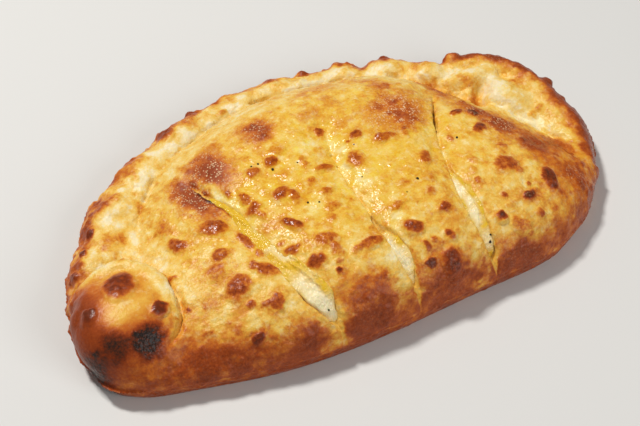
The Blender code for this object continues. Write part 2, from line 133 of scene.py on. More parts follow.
# cheese and butter in each slash, from its back: y, reach left and right of it, depth below the skin
FILLED = [
    [(8, 1.2, 1.4, 0.8), (-6, 2.6, 3, 0.2), (-28, 3, 4.5, 0.25), (-44, 3, 6.5, 0.35),
     (-60, 5.2, 7.6, -0.2), (-69, 5.2, 6.4, -0.9), (-74, 3.6, 3, 0.6), (-78, 2, 2, 3)],
    [(-52, 1.5, 2, 1.5), (-57, 3, 4.4, 0.8), (-67, 3.5, 5.4, 0.9), (-73, 3, 3.5, 1.6), (-77, 1.5, 2, 3)],
    [(-34, 1, 1.5, 0.8), (-40, 2, 4.5, 0.4), (-50, 4.4, 6.4, 0.4), (-60, 4.4, 6.4, 0.5), (-67, 4, 5, 0.9),
     (-73, 3, 3.5, 1.6), (-77, 1.5, 2, 3)],
]
# strands of melted cheese, as lines in plan
STRANDS = [
    [(-60.5, 3), (-58, -3), (-55, -12), (-53, -19)], [(-52, -33), (-49, -43), (-45.5, -52)],
    [(-46.5, -44), (-41, -56), (-36.5, -68)], [(-44, -43), (-39.5, -54), (-36.5, -62)],
    [(1.6, -57), (3, -64), (4.6, -71)], [(50, -38), (50.5, -50), (49.6, -62)],
]
# lips that slope up to the right of a slash: slash, back y, front y, width, depth
OPENED_LIPS = [(0, 21, 1, 6.0, 1.4), (1, 14, -54, 8.0, 1.2), (2, 22, -12, 5.0, 2.0)]

# rolls of dough: x, y, height of the middle, radius
FLAP_LIP = [
    (101, 46.5, 17, 6), (110, 44, 17.5, 7), (120, 38.5, 18, 7), (128, 29, 18, 7), (132, 15, 17.5, 7.5),
    (134, 0, 17, 7.5), (135.5, -16, 15.5, 7.5), (132.5, -30, 13.5, 7.5), (127, -43, 12, 7),
    (118, -54, 10.5, 6),
]
FLAP_FOLD = [(89, 33, 16, 6), (98, 34, 18, 6), (108, 33, 19, 5.5), (117, 31.5, 19.5, 5)]
KNOB_LIP = [
    (-139, -14, 20, 3), (-130, -9.5, 23.5, 3.4), (-120, -8, 26, 3.6), (-110.5, -11.5, 28, 3.6),
    (-104.5, -20, 29, 3.6), (-101.5, -31, 28.5, 3.6), (-102, -42, 26.5, 3.6), (-106, -50.5, 23.5, 3.4),
    (-113.5, -55.5, 19.5, 3), (-124, -58.5, 15, 2.6),
]

# swellings: x, y, height, three radii, heading in degrees
KNOB = (-122.5, -34, 17.5, 25.5, 26.5, 18.5, 0)
FLAP_PUFFS = [
    (113, 13.5, 12, 21, 15, 13.5, -48),
    (87.5, 47, 13, 11, 10, 11, -35),
    (103.5, 48.5, 20, 5.5, 4.5, 5.5, -20),
    (131, -10, 13, 9, 16, 10, 10),
]
RIM_PUFFS = [
    (65, 60.5, 13, 11, 12, 9.5, 40), (46, 70, 12, 13, 8.5, 9, -20), (10, 76.5, 12, 15, 8.5, 8.5, -5),
    (-24, 75.5, 12, 14, 8.5, 9, 8), (-52, 68, 12, 14, 9, 9, 22), (-82, 52, 11.5, 16, 12, 10.5, 38),
    (-107, 30, 11, 17, 14, 11, 48), (-122, 6, 11, 17, 14, 11, 58),
]
# small knobs along the outer edge of the rim: x, y, height, radius
RIM_NUBS = [
    (71, 68.5, 17, 4.5), (45, 76, 16, 4), (26, 79.5, 15, 3.5), (4, 82.5, 14, 3.5), (-44, 78.5, 14, 4),
    (-63, 71.5, 14, 4), (-111, 43, 13, 3.5), (-121.5, 25.5, 11, 4), (-134, 6.5, 10, 4.5),
    (139.5, 11, 19, 4), (139, -4, 18, 4),
]

# places in plan: x, y, two half widths, heading in degrees
KNOB_PLAN = (-126, -36, 25.5, 27, 0)
KNOB_FRONT = (-122, -40, 30, 32, 0)     # here the knob runs smoothly into the front wall
FLAP_POCKET = (104, 19.5, 8.5, 5, 52)   # fold beside the flap's mound
HOLE_SHADE_PLACE = (63, 3, 9, 14, -20)      # stretch of the right slash whose depths are painted dark as shade, over its air pocket
BROWN_SHADED_LIP = (-58.8, 2, 14, 6, -66)   # browned edge of the left slash, darkened further as painted crevice shade
SHEEN_MIDDLE = (5, -5, 92, 52, 0)       # the buttered middle of the dome
SHEEN_END = (113, -40, 27, 32, 0)       # the right end, less buttered

FLAP_POCKET_DEPTH = 6.0
LIP_DITCH = 1.8         # depth of the valley round the knob's lip
LIP_GROOVE = 1.3        # depth of the groove under the low front part of the lip

# browning and specks
PLAIN_BROWNING = 0.33   # of the skin of the dome
DEEP_BROWN = 0.66       # past this the browning levels off, apart from burnt places and bubbles
GLINT_SPECK_SPACING = 1.1     # between the pale specks on the grainy areas, which are painted glints
BUBBLE_WIDER = 1.15     # how much wider and higher the bubbles are made than their rows say
BUBBLE_HIGHER = 1.25
BUBBLE_REACH = 14       # no bubble is felt further than this from its middle
FLAKE_WIDER = 1.3       # how much wider the pepper flakes are made than their rows say

# crisp bubbles of the skin: x, y, two half widths, heading in degrees, height, browning
BUBBLES = [
    (-86, -10, 5.2, 2.9, -55, 1.2, 0.5), (-87, 4, 3, 6, 15, 0.56, 0.29),
    (-96.3, -25.3, 1.4, 3.4, 60, 0.7, 0.42), (-68.3, -12, 7, 4, -30, 1.3, 0.44),
    (-71.7, -28.3, 3.6, 3, -20, 1, 0.42), (-77, -36, 4.6, 3.8, 30, 1.1, 0.3),
    (-71.3, -48.8, 5.8, 4.6, 42, 1.4, 0.44), (-55.5, -47, 5, 3.4, -35, 1.1, 0.46),
    (-60.4, -42.5, 2.3, 2.3, 0, 0.8, 0.42), (-58.8, -63.3, 3.6, 2.8, 50, 1.1, 0.47),
    (-63.3, -61.7, 2, 1.7, 0, 0.7, 0.4), (-70, -59, 2, 1.8, 0, 0.7, 0.44),
    (-73.3, -73, 3, 1.8, 0, 0.8, 0.5), (-57.5, -26.7, 5.6, 2.3, -80, 0.9, 0.44),
    (-55, -36.3, 2.6, 1.8, 80, 0.8, 0.4), (-37.9, 7.5, 3, 2.8, 0, 1, 0.42),
    (-27, 9.2, 2.9, 2.6, 0, 1, 0.44), (-53.3, 2.9, 1.5, 2.5, 0, 0.7, 0.4),
    (-47.9, -4.2, 2, 3.6, 10, 0.8, 0.42), (-46.7, -12, 3.4, 2.8, 0, 1, 0.4),
    (-45, -18, 1.5, 3.2, 15, 0.7, 0.35), (-31.5, -11, 4.4, 3.2, 20, 1.1, 0.42),
    (-27.3, -15.5, 2.2, 4.2, 8, 0.9, 0.4), (-44.2, -37, 1.7, 1.4, 0, 0.5, 0.36),
    (-34.6, -30.8, 5, 2.3, -55, 1.2, 0.46), (-41.7, -43.3, 3.3, 2.4, -20, 0.9, 0.42),
    (-38.5, -43.5, 1.5, 1.3, 0, 0.5, 0.36), (-34.2, -54.2, 4, 3.2, -15, 1.3, 0.46),
    (-25, -46, 5, 3.3, -20, 1.1, 0.42), (-23.3, -53, 2.5, 4, 10, 0.9, 0.4),
    (-24.3, -59, 1.7, 1.5, 0, 0.6, 0.4), (-26.9, -63, 1.4, 1.2, 0, 0.6, 0.55),
    (-6.7, -56.7, 6, 2.5, 8, 1.3, 0.44), (-13.5, -57.6, 3.2, 1.5, 0, 0.8, 0.4),
    (-5, -5.4, 4.2, 1.7, 0, 0.9, 0.4), (-13.3, 1.7, 1.8, 3.2, 0, 0.7, 0.36),
    (-21.7, 15, 4, 3.6, 0, 0.7, 0.27), (-12, -20, 3, 1.8, 0, 0.7, 0.33), (-13, -30, 3, 2, 0, 0.7, 0.31),
    (-16.3, -36.7, 2.1, 2, 0, 0.56, 0.29), (-15, -10.8, 2.1, 2, 0, 0.56, 0.29),
    (-24.6, -1.7, 2, 2, 0, 0.56, 0.27), (-26, -27, 1.1, 1.1, 0, 0.3, 0.25),
    (-41.7, -27.5, 1.3, 1.2, 0, 0.3, 0.25), (-2, 5, 2.4, 3.4, 0, 0.42, 0.25),
    (4.2, 17.9, 2.1, 2.6, -20, 0.8, 0.42), (18.3, 6, 2.9, 2.5, 0, 0.9, 0.44),
    (12.5, 3.5, 1.4, 1.3, 0, 0.5, 0.34), (10.4, -8.3, 3.8, 4.7, 0, 1.2, 0.4),
    (30.4, -2, 5.3, 2.5, -8, 1.2, 0.4), (41.7, -2.5, 1.6, 3, -20, 0.56, 0.35),
    (42, -22.5, 4.6, 2.7, 55, 1, 0.38), (23, -33, 2.1, 2, 0, 0.56, 0.27),
    (37.5, -35.4, 2.6, 2.3, 0, 0.56, 0.27), (13.8, -43.8, 3.2, 1.9, 0, 0.7, 0.33),
    (23.8, -45.8, 1.3, 1.3, 0, 0.4, 0.28), (33.3, -43.3, 2.1, 2, 0, 0.7, 0.33),
    (15.4, -57.5, 4.6, 3, -25, 1.3, 0.5), (35, -53.8, 3.2, 2.3, 20, 1, 0.42),
    (17.5, -68, 1.6, 2.2, 0, 0.6, 0.42), (22.5, -66.3, 1.4, 1.2, 0, 0.4, 0.36),
    (30, -67, 1.7, 2.7, 15, 0.8, 0.44), (15.8, -74.6, 2.3, 1.6, 0, 0.8, 0.55),
    (26.6, -77, 4, 4.4, 0, 1.6, 0.48), (5.8, -74.6, 1.6, 1.6, 0, 0.5, 0.35),
    (59.2, -67.5, 2.4, 2.3, 0, 1.3, 0.56), (67, -73.3, 4.6, 2.8, -25, 1.1, 0.36),
    (66.3, -58.3, 1.5, 1.4, 0, 0.6, 0.4), (78.8, -62, 3.3, 2.2, 20, 1.3, 0.56),
    (80, -71, 1.6, 1.5, 0, 0.7, 0.42), (81.7, -55.8, 1.4, 1.3, 0, 0.6, 0.42),
    (77, -42, 5.4, 4.4, 0, 1.2, 0.46), (81.7, -47, 2.2, 2, 0, 0.7, 0.36),
    (83.3, -30, 2.2, 2, 0, 0.7, 0.36), (75, 1.3, 3.4, 2.2, 10, 0.9, 0.5),
    (83.3, -1.7, 3.2, 2.4, 40, 1, 0.56), (79.6, -14, 4, 2.8, 30, 1.1, 0.5),
    (61.7, -14, 1.4, 2, 0, 0.6, 0.4), (63.8, -33.3, 1.9, 1.8, 0, 0.56, 0.27),
    (58.8, -46, 1.7, 2.6, 0, 0.84, 0.35), (59.6, -39, 1.6, 3, 0, 0.7, 0.31),
    (95, -56, 3.3, 5.8, -12, 1.5, 0.54), (113, -60, 3, 4, -30, 0.8, 0.3),
    (-101, 37, 3.4, 2.6, 30, 1, 0.34), (-120, -23.6, 7.8, 6, 72, 1.7, 0.5),
    (-107.5, -43, 4, 3, 25, 1.5, 0.54), (-138.2, -33, 3.4, 3, 0, 1.4, 0.54),
    (-120, 22, 2.6, 1.8, 40, 1, 0.5), (-127, 12, 2.4, 1.6, 50, 1, 0.5), (-28, 70, 2.2, 1.6, 0, 0.8, 0.4),
    (-62, 68, 5, 4, 40, 1.2, 0.4), (119.7, -6, 2.2, 2, 0, 1.1, 0.34), (-113, 12, 4.5, 5.5, 0, 0.7, 0.25),
    (-45, 75.5, 5, 2.5, 15, 1, 0.38), (125, -4.5, 1.7, 1.6, 0, 0.98, 0.29),
    (-95.5, -46.6, 0.9, 0.8, 0, 0.2, 0.4), (-89.2, -49.8, 1.1, 0.8, 70, 0.2, 0.35),
    (-102, -49, 0.8, 0.6, 0, 0.1, 0.3), (-135, 3, 2.4, 2, 0, 1, 0.44),
]
# browner or paler areas, some of them painted shade: x, y, two half widths, heading in degrees, change in
# browning
TONES = [
    (20, 50, 26, 8, 0, 0.12), (-68, -82, 26, 7.5, -5, 0.02), (-2, -71, 6, 11, 0, -0.2),
    (42, -82, 5, 10, 0, -0.14), (31, 37, 7, 6, 0, -0.1), (-91, 45, 8, 5, 42, 0.26),
    (-42, -26, 7, 6, 0, 0.12), (-42, 38, 10, 6, 10, 0.1), (-85, -25, 7, 7, 0, 0.08),
    (-90, -50, 8, 6, 0, 0.08), (-5, 57, 70, 11, 0, -0.07), (-72, 50, 18, 7, 38, -0.14),
    (60, 55, 16, 8, -30, -0.12), (-96, -20, 7, 28, 12, -0.14), (108, 17, 8, 9, -45, -0.24),
    # the row at (102, 18.5) darkens the flap's pocket as painted shade
    (117, -9, 26, 4, -58, -0.36), (95, 42, 8, 6, -30, -0.16), (102, 18.5, 7.5, 4, 52, 0.5),
    (-66, 38, 14, 6, 40, -0.1), (96, 30, 9, 5, -20, 0.12), (-59, 11, 12, 2.9, -70, -0.44),
    (6.8, -5, 23, 3.6, 90, -0.22), (-6, 12, 8, 3, 5, -0.2), (-22, -28, 6, 2.8, 0, -0.22),
    (-46.5, -33, 6, 3, -65, -0.12), (27, -9, 8, 3.2, 0, -0.16), (-38, -79, 6, 6, 0, -0.3),
    (68.8, 6, 16, 3.6, 65, -0.12), (-47.6, -46, 5, 1.6, -75, -0.3), (134, 22, 8, 10, 0, 0.14),
    # the rows at (-104, -56) and (-92, -66) are painted shade, below and right of the knob
    (-104, -56, 10, 7, -20, 0.2), (-92, -66, 16, 5, -20, 0.08), (-119, 19, 7, 7, 0, 0.14),
    (-96, -49, 9, 6, 0, 0.05), (14, 19, 8, 6, 0, 0.15), (109, 7, 6, 4, -50, 0.15),
    (101, 31, 7, 4, -30, 0.14), (0, -53, 5, 7, 0, 0.14), (-104, 22, 8, 8, 45, -0.15),
]
# areas that are grainy too: rows like those of TONES, then the grain
GRAINY_TONES = [
    (-55.5, 22.5, 11.5, 14.5, 15, 0.5, 1), (-68.6, 10.5, 19, 7.5, -66, 0.48, 0.9),
    (-24, 33.5, 8.5, 8.5, 0, 0.5, 0.8), (46, 13, 21, 13, 8, 0.26, 1), (50, 6, 11, 7, 15, 0.16, 0.9),
    (40, 19, 6, 4, 0, 0.14, 0.5), (52, 24, 6, 4, 20, 0.1, 0.4), (89, -2, 31, 9, -67, 0.2, 0.5),
    (81, 24, 7, 5, -50, 0.22, 0.6), (87, 2, 8, 5.5, -60, 0.2, 0.9), (93, -12, 8, 7, 10, 0.29, 1),
    (102, -32, 8, 7, 0, 0.2, 0.3), (118, -28, 7, 9, 0, 0.14, 0.15), (112, -54, 7, 6, 0, 0.12, 0.4),
    (80, 36, 9, 9, -50, 0.2, 0.3), (114, -40, 24, 26, 0, 0.3, 0.06), (104, -66, 26, 10, 18, 0.16, 0.12),
    (-20, -76, 18, 10, 0, 0.45, 0.08), (22, -79, 15, 8, 0, 0.3, 0.1), (38, -62, 7, 8, 0, 0.22, 0.05),
    (62, -82, 20, 6, 0, 0.2, 0.1), (3, 31, 7, 6, 0, 0.2, 0.3), (18, 34, 5, 6, 0, 0.16, 0.3),
    (49, 35, 7, 5, 20, 0.26, 0.3), (78, -62, 6, 5, 0, 0.2, 0.2), (-98, -70, 34, 9, -14, 0.24, 0.04),
    (-89, -48, 9, 8, 0, 0.06, 0.2), (-72, -36, 12, 8, 30, 0.08, 0.2), (92, -2, 20, 4, -55, 0.05, 0.3),
    (123, 12, 8, 7, 0, 0.16, 0.1), (139, -4, 9, 36, 4, 0.44, 0.1), (125, 37, 16, 8, -38, 0.34, 0.2),
    (-52, -80, 7, 7, 0, 0.3, 0.05), (-77, -61, 8, 6, 0, 0.2, 0.05), (108, 48, 10, 4, -20, 0.32, 0.2),
    (-112, 34, 12, 6, 45, 0.08, 0.2), (-50, 70, 8, 5, 20, 0.2, 0.4),
]
# browner or paler areas of the knob, among them a painted highlight and painted shade, in rows like those
# of TONES
KNOB_TONES = [
    # the row at (-126, -63) darkens the knob's low front, partly browning and partly painted shade
    (-149.5, -28, 16, 26, 0, 0.72), (-128, -52, 15, 9, -10, 0.22), (-126, -63, 15, 5, 15, 0.08),
    # the row at (-124, -37) is a painted highlight on the knob's top
    (-139, -58, 8, 7, 30, 0.22), (-102, -30, 2.6, 18, 0, -0.2), (-124, -37, 10, 8, 20, -0.14),
    (-132, -14, 12, 8, 30, 0.02),
]
# burnt places of the knob, in rows like those of TONES
CHARS = [
    (-116.3, -55.6, 9.4, 6.6, -13, 0.52), (-132, -51.8, 8, 5.6, -25, 0.21),
    (-144, -53.5, 9, 5, -62, 0.28),
]
# where the filling is thick and creamy: x, y, two half widths, heading in degrees, amount
CREAM = [
    (-42.4, -66.4, 11, 4, -62, 1), (-47.5, -42, 5, 1.8, -66, 0.6), (-51.5, -22, 3, 1.4, -80, 0.3),
    (3.3, -64, 9, 3, -76, 0.9), (48.6, -50, 13, 2.6, -84, 0.95), (47.2, -62, 6, 2.4, -84, 0.7),
]
# colour of the skin by its browning, from unbaked to burnt
CRUST_COLOURS = [
    (0.00, (0.90, 0.77, 0.50)), (0.16, (0.88, 0.63, 0.21)), (0.34, (0.83, 0.49, 0.082)),
    (0.48, (0.73, 0.31, 0.036)), (0.60, (0.57, 0.148, 0.018)), (0.72, (0.37, 0.068, 0.012)),
    (0.84, (0.20, 0.033, 0.008)), (0.94, (0.075, 0.022, 0.011)), (1.00, (0.024, 0.015, 0.012)),
]
# pepper flakes: x, y, size
PEPPER = [
    (-37, 11.3, 0.8), (-33.5, 11.3, 0.8), (-28.5, 4.6, 1.3), (-16, 2.5, 0.7), (-22.7, -22.5, 0.9),
    (-18, -25, 0.7), (-38.3, -74.5, 0.9), (14.3, 0.4, 0.8), (8.3, -19.5, 0.6), (31, -34, 1.1),
    (22.3, -39, 0.6), (64.8, -16, 1), (49.3, -73.8, 1.3), (50.8, -71.3, 0.9),
]


def spline(points, closed=False, per_span=5):
    """Smooth curve through every point, with the columns after x and y smoothed too."""
    p = np.array(points, float)
    n = len(p)
    index = np.arange(n if closed else n - 1)

    def row(i):
        return p[i % n] if closed else p[np.clip(i, 0, n - 1)]

    a, b, c, d = row(index - 1), row(index), row(index + 1), row(index + 2)
    t = (np.arange(per_span) / per_span)[None, :, None]
    a, b, c, d = a[:, None], b[:, None], c[:, None], d[:, None]
    bend = (2 * a - 5 * b + 4 * c - d) * t**2 + (3 * b - a - 3 * c + d) * t**3
    curve = 0.5 * (2 * b + (c - a) * t + bend)
    curve = curve.reshape(-1, p.shape[1])
    return curve if closed else np.vstack([curve, p[-1:]])


def beside(x, y, path, closed=False):
    """Distance of each place from a path in plan, its side and its way along (0 to 1).

    The side is 1 on the right hand of someone who follows the path, and -1 on the left hand, so on a
    slash, which runs towards the front, 1 is the left as seen from the front.
    """
    starts = path if closed else path[:-1]
    ends = np.roll(path, -1, axis=0) if closed else path[1:]
    lengths = np.hypot(ends[:, 0] - starts[:, 0], ends[:, 1] - starts[:, 1])
    before = np.concatenate([[0.0], np.cumsum(lengths)[:-1]])
    distance = np.full(x.shape, 1e9)
    side = np.ones(x.shape)
    along = np.zeros(x.shape)
    for start, end, length, travelled in zip(starts, ends, lengths, before):
        dx, dy = end[0] - start[0], end[1] - start[1]
        t = np.clip(((x - start[0]) * dx + (y - start[1]) * dy) / max(length**2, 1e-9), 0, 1)
        d = np.hypot(x - start[0] - t * dx, y - start[1] - t * dy)
        closer = d < distance
        distance[closer] = d[closer]
        side[closer] = np.sign((x - start[0]) * dy - (y - start[1]) * dx)[closer]
        along[closer] = ((travelled + t * length) / lengths.sum())[closer]
    return distance, side, along


OUTLINE_CURVE = spline(OUTLINE, closed=True)
CREASE_CURVE = spline(CREASE)
DOME_CURVE = np.vstack([CREASE_CURVE, spline(FRONT)])
LIP_CURVE = spline(KNOB_LIP)
SLASH_CURVES = [spline(rows) for rows in SLASHES]


def depth_inside(x, y, loop):
    """Distance in from a closed outline, negative outside it."""
    odd = np.zeros(x.shape, bool)
    for (ax, ay), (bx, by) in zip(loop, np.roll(loop, -1, axis=0)):
        if ay != by:
            odd ^= ((ay > y) != (by > y)) & (x < (bx - ax) * (y - ay) / (by - ay) + ax)
    return np.where(odd, 1, -1) * beside(x, y, loop, closed=True)[0]


def join(a, b, blend):
    """Union of two fields, their meeting rounded over the blend."""
    h = np.clip(0.5 + 0.5 * (b - a) / blend, 0, 1)
    return b + (a - b) * h - blend * h * (1 - h)


def keep(a, b, blend):
    """What two fields have in common, the edge rounded over the blend."""
    return -join(-a, -b, blend)


def spread_out(xs, ys, zs):
    """The grid's x and y as maps of the plan, one cell high, and its z as a column through one cell."""
    x, y, _ = np.meshgrid(xs, ys, [0], indexing='ij')
    return x, y, zs[None, None, :]


def as_distance(field):
    """Scales a field so that it grows about as fast as distance does."""
    g = np.gradient(field, STEP)
    return field / np.maximum(np.sqrt(g[0]**2 + g[1]**2 + g[2]**2), 0.02)


def blurred(values, spread):
    """Softens a map of the plan over a spread counted in cells."""
    reach = int(3 * spread + 1)
    weight = np.exp(-0.5 * (np.arange(-reach, reach + 1) / spread)**2)
    weight /= weight.sum()
    for axis in (0, 1):
        edges = [(0, 0), (0, 0), (0, 0)]
        edges[axis] = (reach, reach)
        padded = np.pad(values, edges, mode='edge')
        values = sum(w * np.take(padded, np.arange(i, i + values.shape[axis]), axis)
                     for i, w in enumerate(weight))
    return values


def pillow(depth, z, top, reach, sides, crown):
    """Puffed slab: depth is the way in from its outline and top the map of its full height."""
    rise = np.clip(1 - depth / reach, 0, None)**sides
    middle = np.clip((depth - 8) / 12, 0, 1)
    rise = rise * (1 - middle) + blurred(rise, 5 / STEP) * middle
    tuck = np.clip(1 - depth / FOOT_REACH, 0, None)
    above = np.clip(z - EDGE_Z, 0, None) / (top - EDGE_Z)
    below = np.clip(EDGE_Z - z, 0, None) / (EDGE_Z + 3)
    upper = (rise + above**crown)**(1 / crown) - 1
    lower = np.sqrt(tuck**2 + below**2) - 1
    return as_distance(np.where(z >= EDGE_Z, upper, lower))


def measures_along(path, along, columns):
    """The given columns of a path's rows, read at each place's way along it."""
    steps = np.hypot(*np.diff(path[:, :2], axis=0).T)
    travelled = np.concatenate([[0.0], np.cumsum(steps)]) / steps.sum()
    return [np.interp(along, travelled, path[:, column]) for column in columns]


def roll(x, y, z, rows):
    """Roll of dough along rows of x, y, height and radius."""
    path = spline(rows)
    distance, _, along = beside(x, y, path)
    height, radius = measures_along(path, along, (2, 3))
    return np.hypot(distance, z - height) - radius


def swelling(x, y, z, cx, cy, cz, rx, ry, rz, heading):
    """Rounded lump with its own three radii."""
    c, s = cos(radians(heading)), sin(radians(heading))
    a = ((x - cx) * c + (y - cy) * s) / rx
    b = (-(x - cx) * s + (y - cy) * c) / ry
    size = (np.abs(a)**2.2 + np.abs(b)**2.2 + np.abs((z - cz) / rz)**2.2)**(1 / 2.2)
    return (size - 1) * min(rx, ry, rz)


def slashed(field, x, y, z, path):
    """Cuts one slash down from the top of the dough; its walls close in with depth."""
    distance, side, along = beside(x, y, path)
    near = distance[:, :, 0] < 12
    left, right, deep = measures_along(path, along[near], (2, 3, 4))
    half = np.where(side[near] > 0, left, right)
    dough = field[near]
    crest = np.where(dough < 0, z[0], -99).max(axis=1, keepdims=True)
    foot = np.maximum(crest - 1.5 * deep, SLASH_FOOT)
    room = np.clip((z[0] - foot) / 3, 0, 1)
    sunk = np.clip(-dough / deep, 0, 1)
    gap = distance[near] - half * np.sqrt(1 - sunk**2) * room
    cut = field.copy()
    cut[near] = np.where((sunk < 1) & (room > 0), keep(dough, -gap, 0.9), dough)
    return cut


def pinched(field, x, y):
    """Sinks the valley between the rim and the dome."""
    distance, _, along = beside(x, y, CREASE_CURVE)
    places = np.column_stack([x.ravel(), y.ravel(), np.zeros(x.size)])
    uneven = noise(places, 6, 91).reshape(x.shape)
    deep = 2.4 - 0.7 * step_up(along, 0.3, 0.45)
    valley = deep * (1 + uneven) * band(distance, -0.8 * uneven, 1.9)
    return field + valley * np.clip(along * 12, 0, 1)


def lips_opened(field, x, y):
    """Lowers the dough to the right of a slash, where its lip slopes up from the cut."""
    for slash, back, front, width, deep in OPENED_LIPS:
        distance, side, _ = beside(x, y, SLASH_CURVES[slash])
        there = step_up(back - y, 0, 6) * step_up(y - front, 0, 8) * (side < 0)
        field = field + deep * there * np.clip(1 - distance / width, 0, 1)**1.4
    return field


def dome_skin(x, y, z):
    """The domed body between the front edge and the crease."""
    depth = depth_inside(x, y, DOME_CURVE)
    sag = sum(band(beside(x, y, path)[0], 0, SLASH_SAG_WIDTH) for path in SLASH_CURVES)
    top = DOME_TOP - DOME_DROP * ((x - 10) / DOME_HALF)**2 - SLASH_SAG * sag
    return pillow(depth, z, np.maximum(top, DOME_LOW), DOME_REACH, 2.4, 2.1)


def rim_skin(x, y, z):
    """The low base with the puffed roll and small knobs along its back."""
    depth = depth_inside(x, y, OUTLINE_CURVE)
    field = pillow(depth, z, np.full(x.shape, RIM_TOP), RIM_REACH, 2.2, 2.2)
    at_back = np.clip((y + 0.25 * np.abs(x) + 22) / 20, 0, 1)
    radius = (ROLL_RADIUS - 2.5) * at_back + 1.5
    rolled = np.hypot(depth - ROLL_INSET, z - 9.5) - radius
    field = join(field, rolled, 4)
    for puff in RIM_PUFFS:
        field = join(field, swelling(x, y, z, *puff), 2.5)
    for cx, cy, cz, size in RIM_NUBS:
        field = join(field, swelling(x, y, z, cx, cy, cz, size, size, size, 0), 2)
    return field


def whole_dough(x, y, z):
    """Everything of the dough before its slashes are cut, and the dome alone."""
    dome = dome_skin(x, y, z)
    crease, _, _ = beside(x, y, CREASE_CURVE)
    flowing = 2 + 7 * step_up(50 - x, 0, 30) * np.exp(-(crease / 14)**4)
    field = join(rim_skin(x, y, z), dome, flowing)
    for rows in (FLAP_LIP, FLAP_FOLD):
        field = join(field, roll(x, y, z, rows), 1.5)
    for puff, blend in zip(FLAP_PUFFS, (5, 1.5, 1.5, 3)):
        field = join(field, swelling(x, y, z, *puff), blend)
    pocket = FLAP_POCKET_DEPTH * np.exp(-oval(x, y, FLAP_POCKET)**3)
    field = pinched(field, x, y) + pocket
    lip, side, along = beside(x, y, LIP_CURVE)
    ditch = LIP_DITCH * band(lip, 4.4, 1.5) * stretch(along, (0.15, 0.35), (0.1, 0.25))
    groove = LIP_GROOVE * band(lip, 3.6, 1.1) * (side < 0) * stretch(along, (0.5, 0.6), (0.06, 0.2))
    field = lips_opened(field + ditch, x, y)
    knob = join(swelling(x, y, z, *KNOB), roll(x, y, z, KNOB_LIP), 6)
    blend = 0.8 + 9 * step_up(-y, 46, 60) * np.exp(-oval(x, y, KNOB_FRONT)**6)
    return join(field, knob, blend) + groove, dome


def filling_skin(x, y, z, dome):
    """Soft filling that lies under the dome and wells up where a slash stands open."""
    hx, hy, spread, sink = AIR_POCKET
    hollow = sink * np.exp(-((x - hx)**2 + (y - hy)**2) / spread**2)
    field = dome + CRUST_THICK + hollow
    for path, filled in zip(SLASH_CURVES, map(np.array, FILLED)):
        distance, side, _ = beside(x, y, path)
        left, right, sunk = (np.interp(-y, -filled[:, 0], column) for column in filled.T[1:])
        half = np.where((filled[-1, 0] < y) & (y < filled[0, 0]), np.where(side > 0, left, right), -4)
        plug = keep(dome + sunk, distance - half, 1.5)
        field = join(field, plug, 1)
    field = keep(field, FLOOR_THICK - z, 3)
    return keep(field, np.abs(x - FILL_MIDDLE_X) - FILL_HALF, 8)


def touching_corners(inside):
    """Grid corners round each place where two parts of the skin would meet at an edge or a point."""
    rings = []
    for axis in range(3):
        flat = np.moveaxis(inside, axis, 0)
        a, b, c, d = flat[:, :-1, :-1], flat[:, 1:, 1:], flat[:, :-1, 1:], flat[:, 1:, :-1]
        for level, i, j in np.argwhere((a == b) & (c == d) & (a != c)):
            ring = [[i, j], [i + 1, j + 1], [i, j + 1], [i + 1, j]]
            for corner in ring:
                corner.insert(axis, level)
            rings.append(ring)
    ends = (slice(None, -1), slice(1, None))
    corner = {(i, j, k): inside[ends[i], ends[j], ends[k]] for i, j, k in product((0, 1), repeat=3)}
    count = sum(part.astype(int) for part in corner.values())
    for j, k in ((0, 0), (0, 1), (1, 0), (1, 1)):
        a, b = corner[0, j, k], corner[1, 1 - j, 1 - k]
        for x, y, z in np.argwhere((a == b) & (count == np.where(a, 2, 6))):
            rings.append([[x, y + j, z + k], [x + 1, y + 1 - j, z + 1 - k]])
    return rings


def settled(field):
    """Nudges the few grid points at which two parts of the skin would touch."""
    field = field.copy()
    for _ in range(20):
        rings = touching_corners(field < 0)
        if not rings:
            break
        nearest = {min(map(tuple, ring), key=lambda corner: abs(field[corner])) for ring in rings}
        for corner in sorted(nearest):
            field[corner] = 0.001 if field[corner] < 0 else -0.001
    return field


def skin_of(field):
    """Closed mesh of four-sided faces where a field passes through nothing."""
    field = settled(field)
    inside = field < 0
    cells = np.zeros(tuple(n - 1 for n in field.shape), int)
    total = np.zeros(cells.shape + (3,))
    crossings = np.zeros(cells.shape)
    corner = (slice(None, -1), slice(1, None))
    steps = [values[1] - values[0] for values in GRID]
    for axis in range(3):
        others = [other for other in range(3) if other != axis]
        for p, q in product((0, 1), repeat=2):
            low, high = [None] * 3, [None] * 3
            low[axis], high[axis] = corner
            low[others[0]] = high[others[0]] = corner[p]
            low[others[1]] = high[others[1]] = corner[q]
            a, b = field[tuple(low)], field[tuple(high)]
            crossed = (a < 0) != (b < 0)
            part = np.zeros(a.shape)
            part[crossed] = a[crossed] / (a[crossed] - b[crossed])
            total[..., axis] += part
            total[..., others[0]] += p * crossed
            total[..., others[1]] += q * crossed
            crossings += crossed
    used = crossings > 0
    cells[used] = np.arange(used.sum())
    at = np.argwhere(used)
    points = (at + total[used] / crossings[used][:, None]) * steps + [values[0] for values in GRID]
    faces = []
    for axis in range(3):
        u, w = (axis + 1) % 3, (axis + 2) % 3
        low, high = [slice(1, -1)] * 3, [slice(1, -1)] * 3
        low[axis], high[axis] = corner
        leaving = inside[tuple(low)] & ~inside[tuple(high)]
        entering = ~inside[tuple(low)] & inside[tuple(high)]
        for crossed, turned in ((leaving, False), (entering, True)):
            where = np.argwhere(crossed)
            where[:, u] += 1
            where[:, w] += 1
            ring = []
            for du, dw in ((1, 1), (0, 1), (0, 0), (1, 0)):
                cell = where.copy()
                cell[:, u] -= du
                cell[:, w] -= dw
                ring.append(cells[tuple(cell.T)])
            faces.append(np.stack(ring[::-1] if turned else ring, axis=1))
    return points, np.vstack(faces)


